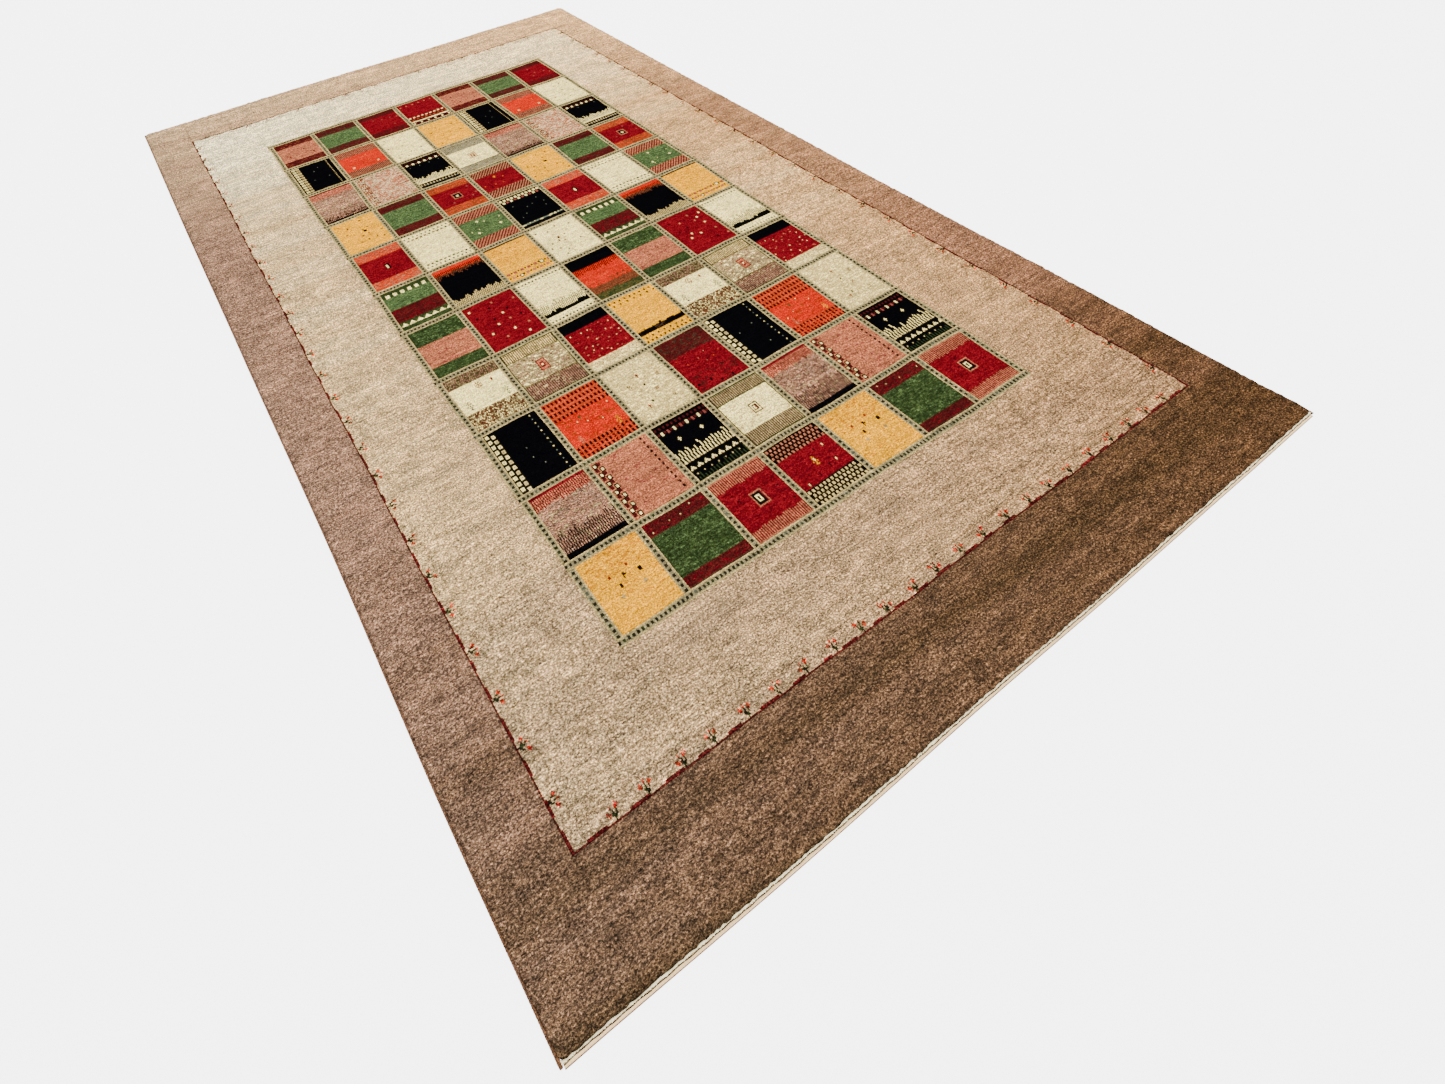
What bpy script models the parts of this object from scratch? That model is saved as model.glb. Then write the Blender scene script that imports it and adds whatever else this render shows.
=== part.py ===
"""Hand-knotted loribaft rug, lying flat.

Units are metres. The origin is the middle of the rug on the surface that it lies on, +Z is up,
+X runs across the rug and +Y along it, from the near end to the far end.

The rug is woven in one piece: a foundation with a thick wool pile, and a narrow flat-woven band at
each end where the warps carry no knots. Wool overcasting is sewn along each long side. A pale
cotton braid is sewn on each flat band at the foot of the pile, and a thin dark line is twined
beside it.
"""

import math

import bmesh
import bpy

# Driving sizes of the rug.
RUG_WIDTH = 2.000
RUG_LENGTH = 3.000
RUG_THICKNESS = 0.0130
GAP = 0.0003

# The flat-woven band at each end.
BAND_WIDTH = 0.0125
BAND_THICKNESS = 0.0026

# The pile's rounded rim: how far each step lies inside the foot of the pile, and its share of the height.
PILE_RIM = (
    (0.0000, 0.00),
    (0.0004, 0.42),
    (0.0022, 0.76),
    (0.0060, 0.94),
    (0.0130, 1.00),
)
CORNER_ROUNDING = 0.012

# The overcast side cords.
SELVEDGE_WIDTH = 0.0070
SELVEDGE_HEIGHT = 0.0065
SELVEDGE_SIDES = 12
FOUNDATION_WIDTH = RUG_WIDTH - 2 * (SELVEDGE_WIDTH + GAP)

# The braid and the twined line on each flat band.
BRAID_WIDTH = 0.0050
BRAID_HEIGHT = 0.0032
BRAID_FROM_PILE = 0.0008
TWINING_WIDTH = 0.0013
TWINING_HEIGHT = 0.0016
TWINING_FROM_BRAID = 0.0004
TRIM_SIDES = 8

# How far the outline strays outwards from a true rectangle: (share of the length or width, metres).
LEFT_EDGE = ((0.0, -0.0010), (0.12, 0.0025), (0.30, -0.0030), (0.52, 0.0000), (0.76, 0.0025), (1.0, 0.0010))
RIGHT_EDGE = ((0.0, 0.0095), (0.04, 0.0050), (0.18, 0.0040), (0.38, -0.0035), (0.62, -0.0040), (0.80, -0.0015),
              (1.0, -0.0030))
NEAR_EDGE = ((0.0, -0.0015), (0.22, 0.0015), (0.45, -0.0010), (0.62, 0.0005), (0.85, -0.0010), (1.0, -0.0030))
FAR_EDGE = ((0.0, -0.0020), (0.18, 0.0010), (0.40, 0.0030), (0.60, -0.0010), (0.80, 0.0020), (1.0, 0.0030))

# How unevenly the pile's top lies: (height, waves along X, waves along Y, start of the wave in radians).
TOP_WAVES = (
    (0.0005, 1.6, 2.3, 0.4),
    (0.0004, 3.7, 1.2, 2.1),
    (0.0003, 0.8, 6.4, 4.0),
)

CELLS_ACROSS = 24
CELLS_ALONG = 36

WOOL_BROWN = (0.28, 0.17, 0.10)
OVERCAST_BROWN = (0.20, 0.11, 0.06)
COTTON = (0.72, 0.66, 0.52)
DARK_WOOL = (0.05, 0.035, 0.03)


def clear_scene():
    """Remove the objects that a new file holds."""
    for obj in list(bpy.data.objects):
        bpy.data.objects.remove(obj, do_unlink=True)


def make_material(name, color, roughness):
    """A Principled material in one plain colour."""
    material = bpy.data.materials.new(name)
    material.use_nodes = True
    shader = material.node_tree.nodes["Principled BSDF"]
    shader.inputs["Base Color"].default_value = (*color, 1.0)
    shader.inputs["Roughness"].default_value = roughness
    shader.inputs["Metallic"].default_value = 0.0
    return material


def ease(t):
    """A smooth step from 0 to 1."""
    return t * t * (3.0 - 2.0 * t)


def stray(table, share):
    """How far an edge strays outwards at a share of its length."""
    for (start, low), (end, high) in zip(table, table[1:]):
        if share <= end:
            return low + (high - low) * ease((share - start) / (end - start))
    return table[-1][1]


def plan_point(across, along):
    """The place on the foundation at shares of the width and the length, each from 0 to 1."""
    left = -FOUNDATION_WIDTH / 2 - stray(LEFT_EDGE, along)
    right = FOUNDATION_WIDTH / 2 + stray(RIGHT_EDGE, along)
    near = -RUG_LENGTH / 2 - stray(NEAR_EDGE, across)
    far = RUG_LENGTH / 2 + stray(FAR_EDGE, across)
    return left + (right - left) * across, near + (far - near) * along


def plan_middle():
    """The middle of the outline's box, which is the rug's origin."""
    steps = [i / 400 for i in range(401)]
    lefts = [plan_point(0.0, t)[0] for t in steps]
    rights = [plan_point(1.0, t)[0] for t in steps]
    nears = [plan_point(t, 0.0)[1] for t in steps]
    fars = [plan_point(t, 1.0)[1] for t in steps]
    return (min(lefts) + max(rights)) / 2, (min(nears) + max(fars)) / 2


MIDDLE_X, MIDDLE_Y = plan_middle()


def inside(across, along, from_side, from_end):
    """A point given by shares of the plan, then moved in from the sides (+ from the left, - from the right)
    and from the ends (+ from the near end, - from the far end)."""
    x, y = plan_point(across, along)
    return x - MIDDLE_X + from_side, y - MIDDLE_Y + from_end


def top_height(x, y):
    """The height of the pile's top at a place in plan."""
    height = RUG_THICKNESS - sum(wave[0] for wave in TOP_WAVES)
    for size, across, along, start in TOP_WAVES:
        angle = 2 * math.pi * (across * x / RUG_WIDTH + along * y / RUG_LENGTH) + start
        height += size * math.cos(angle)
    return height


def finish_object(name, bm, material, smooth_angle):
    """Turn a bmesh into a named, smooth-shaded object."""
    bmesh.ops.recalc_face_normals(bm, faces=bm.faces)
    mesh = bpy.data.meshes.new(name)
    bm.to_mesh(mesh)
    bm.free()
    mesh.materials.append(material)
    mesh.shade_smooth()
    mesh.set_sharp_from_angle(angle=math.radians(smooth_angle))
    obj = bpy.data.objects.new(name, mesh)
    bpy.context.scene.collection.objects.link(obj)
    return obj


def grid_stations(cells, rim_start):
    """Shares and insets of the grid lines across the pile: the rim's steps, the middle cells and the rim again."""
    low = [(0.0, rim_start + inset) for inset, _ in PILE_RIM]
    high = [(1.0, -rim_start - inset) for inset, _ in reversed(PILE_RIM)]
    middle = [(i / cells, 0.0) for i in range(1, cells)]
    return low + middle + high


def rim_share(index, count):
    """The share of the pile's height on one grid line."""
    steps = len(PILE_RIM)
    place = min(index, count - 1 - index)
    return PILE_RIM[place][1] if place < steps else 1.0


def round_corner(x, y, low, high):
    """Pull a point near a corner of the pile on to a rounded corner."""
    for side, end in ((low[0], low[1]), (low[0], high[1]), (high[0], low[1]), (high[0], high[1])):
        way_x = math.copysign(1.0, side)
        way_y = math.copysign(1.0, end)
        centre_x = side - way_x * CORNER_ROUNDING
        centre_y = end - way_y * CORNER_ROUNDING
        out_x = (x - centre_x) * way_x
        out_y = (y - centre_y) * way_y
        if out_x > 0 and out_y > 0:
            reach = max(out_x, out_y)
            length = math.hypot(out_x, out_y)
            if length > 1e-9:
                x = centre_x + way_x * out_x * reach / length
                y = centre_y + way_y * out_y * reach / length
    return x, y


def build_rug_body(material):
    """The knotted rug: foundation, pile with a rounded rim, and the flat-woven band at each end."""
    bm = bmesh.new()
    columns = grid_stations(CELLS_ACROSS, 0.0)
    rows = grid_stations(CELLS_ALONG, BAND_WIDTH)
    count_x, count_y = len(columns), len(rows)

    def corner_limits(along, across):
        low = (inside(0.0, along, 0.0, 0.0)[0], inside(across, 0.0, 0.0, BAND_WIDTH)[1])
        high = (inside(1.0, along, 0.0, 0.0)[0], inside(across, 1.0, 0.0, -BAND_WIDTH)[1])
        return low, high

    top = []
    for j, (along, from_end) in enumerate(rows):
        line = []
        for i, (across, from_side) in enumerate(columns):
            x, y = inside(across, along, from_side, from_end)
            share = min(rim_share(i, count_x), rim_share(j, count_y))
            x, y = round_corner(x, y, *corner_limits(along, across))
            pile = top_height(x, y) - BAND_THICKNESS
            line.append(bm.verts.new((x, y, BAND_THICKNESS + pile * share)))
        top.append(line)
    for j in range(count_y - 1):
        for i in range(count_x - 1):
            bm.faces.new((top[j][i], top[j][i + 1], top[j + 1][i + 1], top[j + 1][i]))

    # The flat band beyond the pile at each end, level with the foundation's top.
    near_band = []
    far_band = []
    for across, from_side in columns:
        x, y = inside(across, 0.0, from_side, 0.0)
        near_band.append(bm.verts.new((x, y, BAND_THICKNESS)))
        x, y = inside(across, 1.0, from_side, 0.0)
        far_band.append(bm.verts.new((x, y, BAND_THICKNESS)))
    for i in range(count_x - 1):
        bm.faces.new((near_band[i], near_band[i + 1], top[0][i + 1], top[0][i]))
        bm.faces.new((top[-1][i], top[-1][i + 1], far_band[i + 1], far_band[i]))

    # The walls down to the flat underside.
    rim = near_band + [line[-1] for line in top] + far_band[::-1] + [line[0] for line in reversed(top)]
    foot = [bm.verts.new((v.co.x, v.co.y, 0.0)) for v in rim]
    for i, vert in enumerate(rim):
        after = (i + 1) % len(rim)
        bm.faces.new((foot[i], foot[after], rim[after], vert))

    # The underside, as strips between facing points of the two sides.
    near_foot = foot[:count_x]
    right_foot = foot[count_x:count_x + count_y]
    far_foot = foot[count_x + count_y:2 * count_x + count_y][::-1]
    left_foot = foot[2 * count_x + count_y:][::-1]
    bm.faces.new(near_foot[::-1] + [left_foot[0], right_foot[0]])
    for j in range(count_y - 1):
        bm.faces.new((left_foot[j], left_foot[j + 1], right_foot[j + 1], right_foot[j]))
    bm.faces.new([right_foot[-1], left_foot[-1]] + far_foot)
    return finish_object("rug_body", bm, material, 50.0)


def build_trim(name, centre_line, width, height, base, sides, material):
    """A closed bar of rounded section, flat underneath, along a line of points on the surface."""
    bm = bmesh.new()
    rings = []
    for k, (x, y) in enumerate(centre_line):
        before = centre_line[max(k - 1, 0)]
        after = centre_line[min(k + 1, len(centre_line) - 1)]
        length = math.hypot(after[0] - before[0], after[1] - before[1])
        side_x = (after[1] - before[1]) / length
        side_y = -(after[0] - before[0]) / length
        ring = []
        for s in range(sides):
            angle = 2 * math.pi * (s + 0.5) / sides
            reach = width / 2 * math.cos(angle) / math.cos(math.pi / sides)
            up = height / 2 * (1 + math.sin(angle) / math.cos(math.pi / sides))
            ring.append(bm.verts.new((x + side_x * reach, y + side_y * reach, base + max(up, 0.0))))
        rings.append(ring)
    for a, b in zip(rings, rings[1:]):
        for s in range(sides):
            after = (s + 1) % sides
            bm.faces.new((a[s], a[after], b[after], b[s]))
    bm.faces.new(rings[0][::-1])
    bm.faces.new(rings[-1])
    return finish_object(name, bm, material, 60.0)


def trim_stations(cells, rim_start):
    """Shares and insets along a trim, at the same grid lines as the pile, so that both bend alike."""
    rim_end = rim_start + PILE_RIM[-1][0]
    middle = [(i / cells, 0.0) for i in range(1, cells)]
    return [(0.0, 0.0), (0.0, rim_end)] + middle + [(1.0, -rim_end), (1.0, 0.0)]


def side_line(across, outward):
    """Points along a long side, outside the foundation by a distance."""
    way = 1.0 if across > 0.5 else -1.0
    return [inside(across, along, way * outward, inset) for along, inset in trim_stations(CELLS_ALONG, BAND_WIDTH)]


def end_line(along, inward):
    """Points along an end, inside the flat band's outer edge by a distance."""
    way = 1.0 if along < 0.5 else -1.0
    return [inside(across, along, inset, way * inward) for across, inset in trim_stations(CELLS_ACROSS, 0.0)]


def main():
    clear_scene()
    wool = make_material("pile_wool", WOOL_BROWN, 0.95)
    overcast = make_material("overcast_wool", OVERCAST_BROWN, 0.9)
    cotton = make_material("braid_cotton", COTTON, 0.85)
    dark = make_material("twined_wool", DARK_WOOL, 0.9)

    build_rug_body(wool)
    for name, across in (("selvedge_left", 0.0), ("selvedge_right", 1.0)):
        line = side_line(across, GAP + SELVEDGE_WIDTH / 2)
        build_trim(name, line, SELVEDGE_WIDTH, SELVEDGE_HEIGHT, 0.0, SELVEDGE_SIDES, overcast)

    trim_base = BAND_THICKNESS + GAP
    braid_inward = BAND_WIDTH - BRAID_FROM_PILE - BRAID_WIDTH / 2
    twining_inward = BAND_WIDTH - BRAID_FROM_PILE - BRAID_WIDTH - TWINING_FROM_BRAID - TWINING_WIDTH / 2
    for end, along in (("near", 0.0), ("far", 1.0)):
        build_trim(f"end_braid_{end}", end_line(along, braid_inward), BRAID_WIDTH, BRAID_HEIGHT, trim_base,
                   TRIM_SIDES, cotton)
        build_trim(f"end_twining_{end}", end_line(along, twining_inward), TWINING_WIDTH, TWINING_HEIGHT, trim_base,
                   TRIM_SIDES, dark)


if __name__ == "__main__":
    main()
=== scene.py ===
"""Loribaft rug: the looks of a hand-knotted wool rug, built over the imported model.

Units are metres. +X runs across the rug, +Y along it from the near end to the far end, +Z is up.
The pile is made of knots: each knot is one small facet of the pile's top with its own dye.
"""
import math
import random

import bpy
import numpy as np
from bpy.props import FloatProperty, FloatVectorProperty, IntProperty, PointerProperty
from mathutils import Matrix, Vector


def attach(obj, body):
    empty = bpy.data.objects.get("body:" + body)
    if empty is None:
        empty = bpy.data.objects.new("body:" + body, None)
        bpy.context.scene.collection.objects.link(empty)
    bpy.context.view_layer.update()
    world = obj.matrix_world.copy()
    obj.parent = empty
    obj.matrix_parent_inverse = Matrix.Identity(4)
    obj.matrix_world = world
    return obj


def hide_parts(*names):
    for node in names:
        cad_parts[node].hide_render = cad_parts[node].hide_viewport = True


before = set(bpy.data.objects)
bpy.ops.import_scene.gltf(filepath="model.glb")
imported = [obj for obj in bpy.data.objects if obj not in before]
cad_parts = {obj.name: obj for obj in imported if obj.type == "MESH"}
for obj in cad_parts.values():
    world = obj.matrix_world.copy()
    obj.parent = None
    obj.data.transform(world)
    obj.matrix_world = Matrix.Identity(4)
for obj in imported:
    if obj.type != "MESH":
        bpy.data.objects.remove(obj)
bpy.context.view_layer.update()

bl_info = {
    "name": "Loribaft Rug",
    "version": (1, 0, 0),
    "blender": (4, 5, 0),
    "location": "3D View > Sidebar > Rug",
    "description": "Builds a hand-knotted loribaft rug from its pile, lattice, panels, side cords and end trims",
    "category": "Add Mesh",
}

BODY = "root"

# Sizes that the rug's solids have.
RUG_WIDTH = 2.000
RUG_LENGTH = 3.000
RUG_THICKNESS = 0.0130
GAP = 0.0003
BAND_WIDTH = 0.0125
BAND_THICKNESS = 0.0026
CORNER_ROUNDING = 0.012
SELVEDGE_WIDTH = 0.0070
SELVEDGE_HEIGHT = 0.0065
FOUNDATION_WIDTH = RUG_WIDTH - 2 * (SELVEDGE_WIDTH + GAP)
BRAID_WIDTH = 0.0050
BRAID_HEIGHT = 0.0032
BRAID_FROM_PILE = 0.0008
TWINING_WIDTH = 0.0013
TWINING_HEIGHT = 0.0016
TWINING_FROM_BRAID = 0.0004
PILE_FOOT = BAND_THICKNESS + 0.0001

# The pile's rim, which leans out over the side cords and the braids: (distance in from the foot, share of
# the pile's height).
PILE_RIM = ((0.0, 0.34), (-0.0014, 0.52), (-0.0022, 0.70), (0.0010, 0.90), (0.0080, 1.0))

# How far the outline strays outwards from a true rectangle: (share of the length or width, metres).
LEFT_EDGE = ((0.0, -0.0010), (0.12, 0.0025), (0.30, -0.0030), (0.52, 0.0000), (0.76, 0.0025), (1.0, 0.0010))
RIGHT_EDGE = ((0.0, 0.0095), (0.04, 0.0050), (0.18, 0.0040), (0.38, -0.0035), (0.62, -0.0040), (0.80, -0.0015),
              (1.0, -0.0030))
NEAR_EDGE = ((0.0, -0.0015), (0.22, 0.0015), (0.45, -0.0010), (0.62, 0.0005), (0.85, -0.0010), (1.0, -0.0030))
FAR_EDGE = ((0.0, -0.0020), (0.18, 0.0010), (0.40, 0.0030), (0.60, -0.0010), (0.80, 0.0020), (1.0, 0.0030))

# How unevenly the pile's top lies: (height, waves along X, waves along Y, start of the wave in radians).
TOP_WAVES = ((0.0005, 1.6, 2.3, 0.4), (0.0004, 3.7, 1.2, 2.1), (0.0003, 0.8, 6.4, 4.0))

# Finer unevenness of the cut pile: (height, waves per metre along X, along Y, start in radians).
PILE_RIPPLES = ((0.00016, 9.0, 23.0, 0.7), (0.00014, 17.0, 11.0, 2.9), (0.00012, 6.0, 47.0, 5.1),
                (0.00010, 31.0, 37.0, 1.3))

# The red line's four sides, as (place at the near or left end, place at the far or right end).
LINE_LEFT = (-0.857, -0.852)
LINE_RIGHT = (0.863, 0.836)
LINE_NEAR = (-1.313, -1.311)
LINE_FAR = (1.304, 1.306)
FLOWER_BAND = 0.030

# The lattice: centre of each upright bar at the near and the far end, and the heights of the panels.
UPRIGHT_BARS = ((-0.594, -0.609), (-0.430, -0.441), (-0.251, -0.263), (-0.084, -0.096),
                (0.086, 0.079), (0.257, 0.253), (0.433, 0.430), (0.603, 0.594))
LATTICE_NEAR = -1.093
PANEL_HEIGHTS = (0.178, 0.184, 0.201, 0.201, 0.208, 0.191, 0.202, 0.194, 0.206, 0.203, 0.199)
BAR_WIDTH = 0.0175
BAR_TILT = 0.012
PANELS_ACROSS = len(UPRIGHT_BARS) - 1
PANELS_ALONG = len(PANEL_HEIGHTS)

# Colour strays along the border and the field: partly the wool's own uneven dyeing, partly painted light, with the far
# end painted lighter and paler as pile looks at a grazing view, and the near end a little lighter to make up for the
# lamp falling off there: (metres from the near end, place in the row of dyes).
BORDER_DYES = ("walnut", "rosewood", "fawn", "sand")
BORDER_LEFT = ((0.0, 0.12), (0.10, 0.30), (0.30, 0.45), (0.54, 0.72), (1.02, 1.05), (1.50, 1.05), (1.98, 0.88),
               (2.46, 2.05), (3.0, 2.30))
BORDER_RIGHT = ((0.0, 0.0), (0.10, 0.0), (0.30, 0.14), (0.78, 1.0), (1.26, 1.90), (1.74, 2.0), (2.22, 2.45),
                (2.70, 2.95), (3.0, 3.0))
FIELD_DYES = ("oat", "linen", "ash")
FIELD_LEFT = ((0.19, 0.35), (0.49, 0.30), (0.73, 0.90), (1.21, 0.95), (1.69, 1.10), (2.17, 1.15), (2.41, 1.60),
              (2.70, 2.00))
FIELD_RIGHT = ((0.19, 0.00), (0.60, 0.45), (0.97, 0.50), (1.21, 1.10), (1.45, 1.15), (1.69, 0.75), (1.93, 1.15),
               (2.41, 1.70), (2.70, 2.00))

# How much less green and blue the wool along the right side sends back than that along the left side.
YELLOWING = (0.0, 0.18, 0.32)

# Small motifs charted knot by knot, from the far side to the near side. A dot is ground.
SPRIGS = ((
    "....o....",
    ".o..o..o.",
    "ooo.g.ooo",
    ".og.g.go.",
    "..g.gg...",
    "...ggg...",
    "...gg....",
    "....g....",
), (
    ".......o.",
    "...o..ooo",
    "...g..oo.",
    "oo..g.g..",
    "ooogg.g..",
    ".o.gggg..",
    "....gg...",
    "....g....",
))
TREE = ("...x...", "..x.x..", ".x.x.x.", "..x.x..", ".x.x.x.", "x..x..x", "..x.x..", "...x...", "..xxx..")
SMALL_TREE = ("..x..", ".x.x.", "..x..", ".x.x.", "x.x.x", "..x..", ".xxx.")
ROSETTE = ("..x.x..", ".xx.xx.", "x..x..x", ".x.x.x.", "x..x..x", ".xx.xx.", "..x.x..")
BUD = (".x.", "xxx", ".x.", ".x.")
CROSSLET = ("x.x", ".x.", "x.x")
BLOSSOM = (".x.", "xxx", ".x.")
FLAG = ("xx.", "xxx", "x..", "x..")


# Light that a white surface sends back in the middle of the rug, and the lightest that dyed wool can be.
STUDIO_LIGHT = 3.2
LIGHTEST = 0.90


def seen(red, green, blue):
    """The wool's own colour for a colour as the camera's film shows it, each part from 0 to 255.

    The film turns light into tone along an S-shaped curve, which is undone here.
    """
    shades = []
    for part in (red, green, blue):
        share = min(part, 250) / 255
        light = 0.219 * (share / (1 - share)) ** 1.245
        shades.append(min(light / STUDIO_LIGHT, LIGHTEST))
    return tuple(shades)


def dye_property(label, description, shade):
    """A colour property for one dye."""
    return FloatVectorProperty(name=label, description=description, default=seen(*shade), size=3, min=0.0,
                               max=1.0, subtype="COLOR")


class RugSizes(bpy.types.PropertyGroup):
    """The sizes of the rug's weave."""

    knot_width: FloatProperty(name="Knot width", description="Width of one knot in the panels", default=0.0029,
                              unit="LENGTH")
    knot_length: FloatProperty(name="Knot length", description="Length of one knot in the panels",
                               default=0.0033, unit="LENGTH")
    line_knot: FloatProperty(name="Line knot", description="Side of one knot along the red line",
                             default=0.0030, unit="LENGTH")
    plain_cell: FloatProperty(name="Plain cell", description="Side of one facet of the plain pile",
                              default=0.0080, unit="LENGTH")
    rim_cell: FloatProperty(name="Rim cell", description="Facet length along the pile's rim",
                            default=0.0062, unit="LENGTH")
    tuft: FloatProperty(name="Tuft", description="How unevenly single knots are cut", default=0.00030,
                        unit="LENGTH")
    wrap_pitch: FloatProperty(name="Wrap pitch", description="Distance between overcast stitches",
                              default=0.0058, unit="LENGTH")
    stitch_pitch: FloatProperty(name="Stitch pitch", description="Distance between braid stitches",
                                default=0.0052, unit="LENGTH")
    twist_pitch: FloatProperty(name="Twist pitch", description="Distance between turns of the twined line",
                               default=0.0024, unit="LENGTH")
    flower_pitch_ends: FloatProperty(name="Flower pitch, ends", description="Distance between sprigs on the ends",
                                     default=0.069, unit="LENGTH")
    flower_pitch_sides: FloatProperty(name="Flower pitch, sides",
                                      description="Distance between sprigs on the long sides",
                                      default=0.091, unit="LENGTH")
    seed: IntProperty(name="Seed", description="Start of the random draws", default=7, min=0)


class WoolDyes(bpy.types.PropertyGroup):
    """The dyed wools."""

    black: dye_property("Black", "Black wool", (10, 10, 13))
    navy: dye_property("Navy", "Dark blue wool", (30, 28, 65))
    red: dye_property("Red", "Madder red wool", (157, 22, 34))
    wine: dye_property("Wine", "Deeper red wool", (138, 17, 29))
    maroon: dye_property("Maroon", "Brownish red wool", (107, 28, 27))
    orange: dye_property("Orange", "Orange wool", (205, 56, 22))
    salmon: dye_property("Salmon", "Salmon wool", (202, 92, 44))
    amber: dye_property("Amber", "Light orange wool", (188, 90, 36))
    yellow: dye_property("Yellow", "Yellow wool", (220, 194, 2))
    gold: dye_property("Gold", "Orange-yellow wool", (212, 174, 2))
    green: dye_property("Green", "Mid green wool", (112, 136, 82))
    fern: dye_property("Fern", "Green wool between the mid and the dark green", (86, 108, 58))
    moss: dye_property("Moss", "Dark green wool", (62, 82, 38))
    leaf: dye_property("Leaf", "Light green wool", (132, 154, 98))
    olive: dye_property("Olive", "Brownish green wool", (106, 100, 48))
    cream: dye_property("Cream", "Undyed white wool", (225, 220, 186))
    ivory: dye_property("Ivory", "Undyed cream wool", (212, 202, 158))
    pink: dye_property("Pink", "Faded pink wool", (194, 142, 104))
    rose: dye_property("Rose", "Darker pink wool", (176, 100, 82))
    camel: dye_property("Camel", "Camel wool", (178, 144, 116))
    stone: dye_property("Stone", "Grey beige wool", (188, 174, 132))
    khaki: dye_property("Khaki", "Greenish cream wool of the lattice", (178, 168, 130))
    slate: dye_property("Slate", "Grey green wool", (146, 152, 130))
    brown: dye_property("Brown", "Dark brown wool", (92, 62, 42))
    rust: dye_property("Rust", "Rust brown wool", (148, 84, 48))
    pine: dye_property("Pine", "Green black wool of the lattice dots", (22, 24, 17))
    walnut: dye_property("Walnut", "Darkest wool of the border", (114, 90, 62))
    rosewood: dye_property("Rosewood", "Red brown wool of the border", (175, 148, 124))
    fawn: dye_property("Fawn", "Light brown wool of the border", (185, 162, 133))
    sand: dye_property("Sand", "Palest wool of the border", (210, 198, 171))
    oat: dye_property("Oat", "Darkest wool of the field", (188, 171, 142))
    linen: dye_property("Linen", "Middle wool of the field", (206, 192, 159))
    ash: dye_property("Ash", "Palest wool of the field", (218, 214, 197))


class TrimColours(bpy.types.PropertyGroup):
    """The colours of the side cords and the end trims."""

    overcast: dye_property("Overcast", "Wool of the side cords, beside the border's own", (176, 134, 94))
    cotton: dye_property("Cotton", "Cotton of the end braid", (238, 224, 212))
    band: dye_property("Flat band", "Cotton of the flat-woven band", (228, 218, 196))
    edge: dye_property("Band edge", "Thin tan thread along the band's outer edge", (168, 110, 70))
    twining: dye_property("Twining", "Dark wool twined over the end", (62, 38, 30))
    floor: dye_property("Floor", "The plain studio floor", (217, 217, 217))


class StageSettings(bpy.types.PropertyGroup):
    """The camera and the light."""

    lens: FloatProperty(name="Lens", description="Focal length on a 36 mm sensor", default=13.48,
                        unit="CAMERA")
    key_power: FloatProperty(name="Key light", description="Power of the large soft light", default=1240.0,
                             unit="POWER")
    sky: FloatProperty(name="Sky", description="Strength of the even light from all round", default=1.76)
    floor_glow: FloatProperty(name="Floor glow", description="How much the floor shines by itself", default=4.0)


DYE_NAMES = list(WoolDyes.__annotations__)
DYE_INDEX = {name: index for index, name in enumerate(DYE_NAMES)}


def ease(t):
    """A smooth step from 0 to 1."""
    return t * t * (3.0 - 2.0 * t)


def eased_table(table, place):
    """Values between a table's rows, eased, for one place or an array of them."""
    place = np.asarray(place, dtype=float)
    result = np.full(place.shape, table[0][1], dtype=float)
    for (start, low), (end, high) in zip(table, table[1:]):
        share = np.clip((place - start) / (end - start), 0.0, 1.0)
        result = np.where(place >= start, low + (high - low) * ease(share), result)
    return result


def plan_point(across, along):
    """Places on the foundation at shares of the width and the length, each from 0 to 1."""
    left = -FOUNDATION_WIDTH / 2 - eased_table(LEFT_EDGE, along)
    right = FOUNDATION_WIDTH / 2 + eased_table(RIGHT_EDGE, along)
    near = -RUG_LENGTH / 2 - eased_table(NEAR_EDGE, across)
    far = RUG_LENGTH / 2 + eased_table(FAR_EDGE, across)
    return left + (right - left) * across, near + (far - near) * along


def plan_middle():
    """The middle of the outline's box, which is the rug's origin."""
    steps = np.linspace(0.0, 1.0, 401)
    lefts, _ = plan_point(0.0, steps)
    rights, _ = plan_point(1.0, steps)
    _, nears = plan_point(steps, 0.0)
    _, fars = plan_point(steps, 1.0)
    return (lefts.min() + rights.max()) / 2, (nears.min() + fars.max()) / 2


MIDDLE_X, MIDDLE_Y = plan_middle()


def plan_place(across, along):
    """Places on the foundation, measured from the rug's origin."""
    x, y = plan_point(np.asarray(across, dtype=float), np.asarray(along, dtype=float))
    return x - MIDDLE_X, y - MIDDLE_Y


def top_height(x, y):
    """The height of the pile's top at places in plan."""
    height = RUG_THICKNESS - sum(wave[0] for wave in TOP_WAVES)
    for size, across, along, start in TOP_WAVES:
        height = height + size * np.cos(2 * math.pi * (across * x / RUG_WIDTH + along * y / RUG_LENGTH) + start)
    for size, across, along, start in PILE_RIPPLES:
        height = height + size * np.sin(2 * math.pi * (across * x + along * y) + start)
    return height


def upright_bar(index, y):
    """The centre of an upright lattice bar."""
    near, far = UPRIGHT_BARS[index]
    share = (y - LATTICE_NEAR) / sum(PANEL_HEIGHTS)
    wander = 0.0016 * np.sin(2 * math.pi * y / 0.83 + 1.9 * index) + 0.0008 * np.sin(2 * math.pi * y / 0.31 + index)
    return near + (far - near) * share + wander


def cross_bar(index, x):
    """The centre of a lattice bar that runs across the rug."""
    level = LATTICE_NEAR + sum(PANEL_HEIGHTS[:index])
    tilt = BAR_TILT * math.sin(math.pi * min(1.0, index / PANELS_ALONG * 1.15) ** 0.8)
    wander = 0.0012 * np.sin(2 * math.pi * x / 0.52 + 2.3 * index) + 0.0007 * np.sin(2 * math.pi * x / 0.23 + index)
    return level + tilt * x / 1.2 + wander


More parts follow.
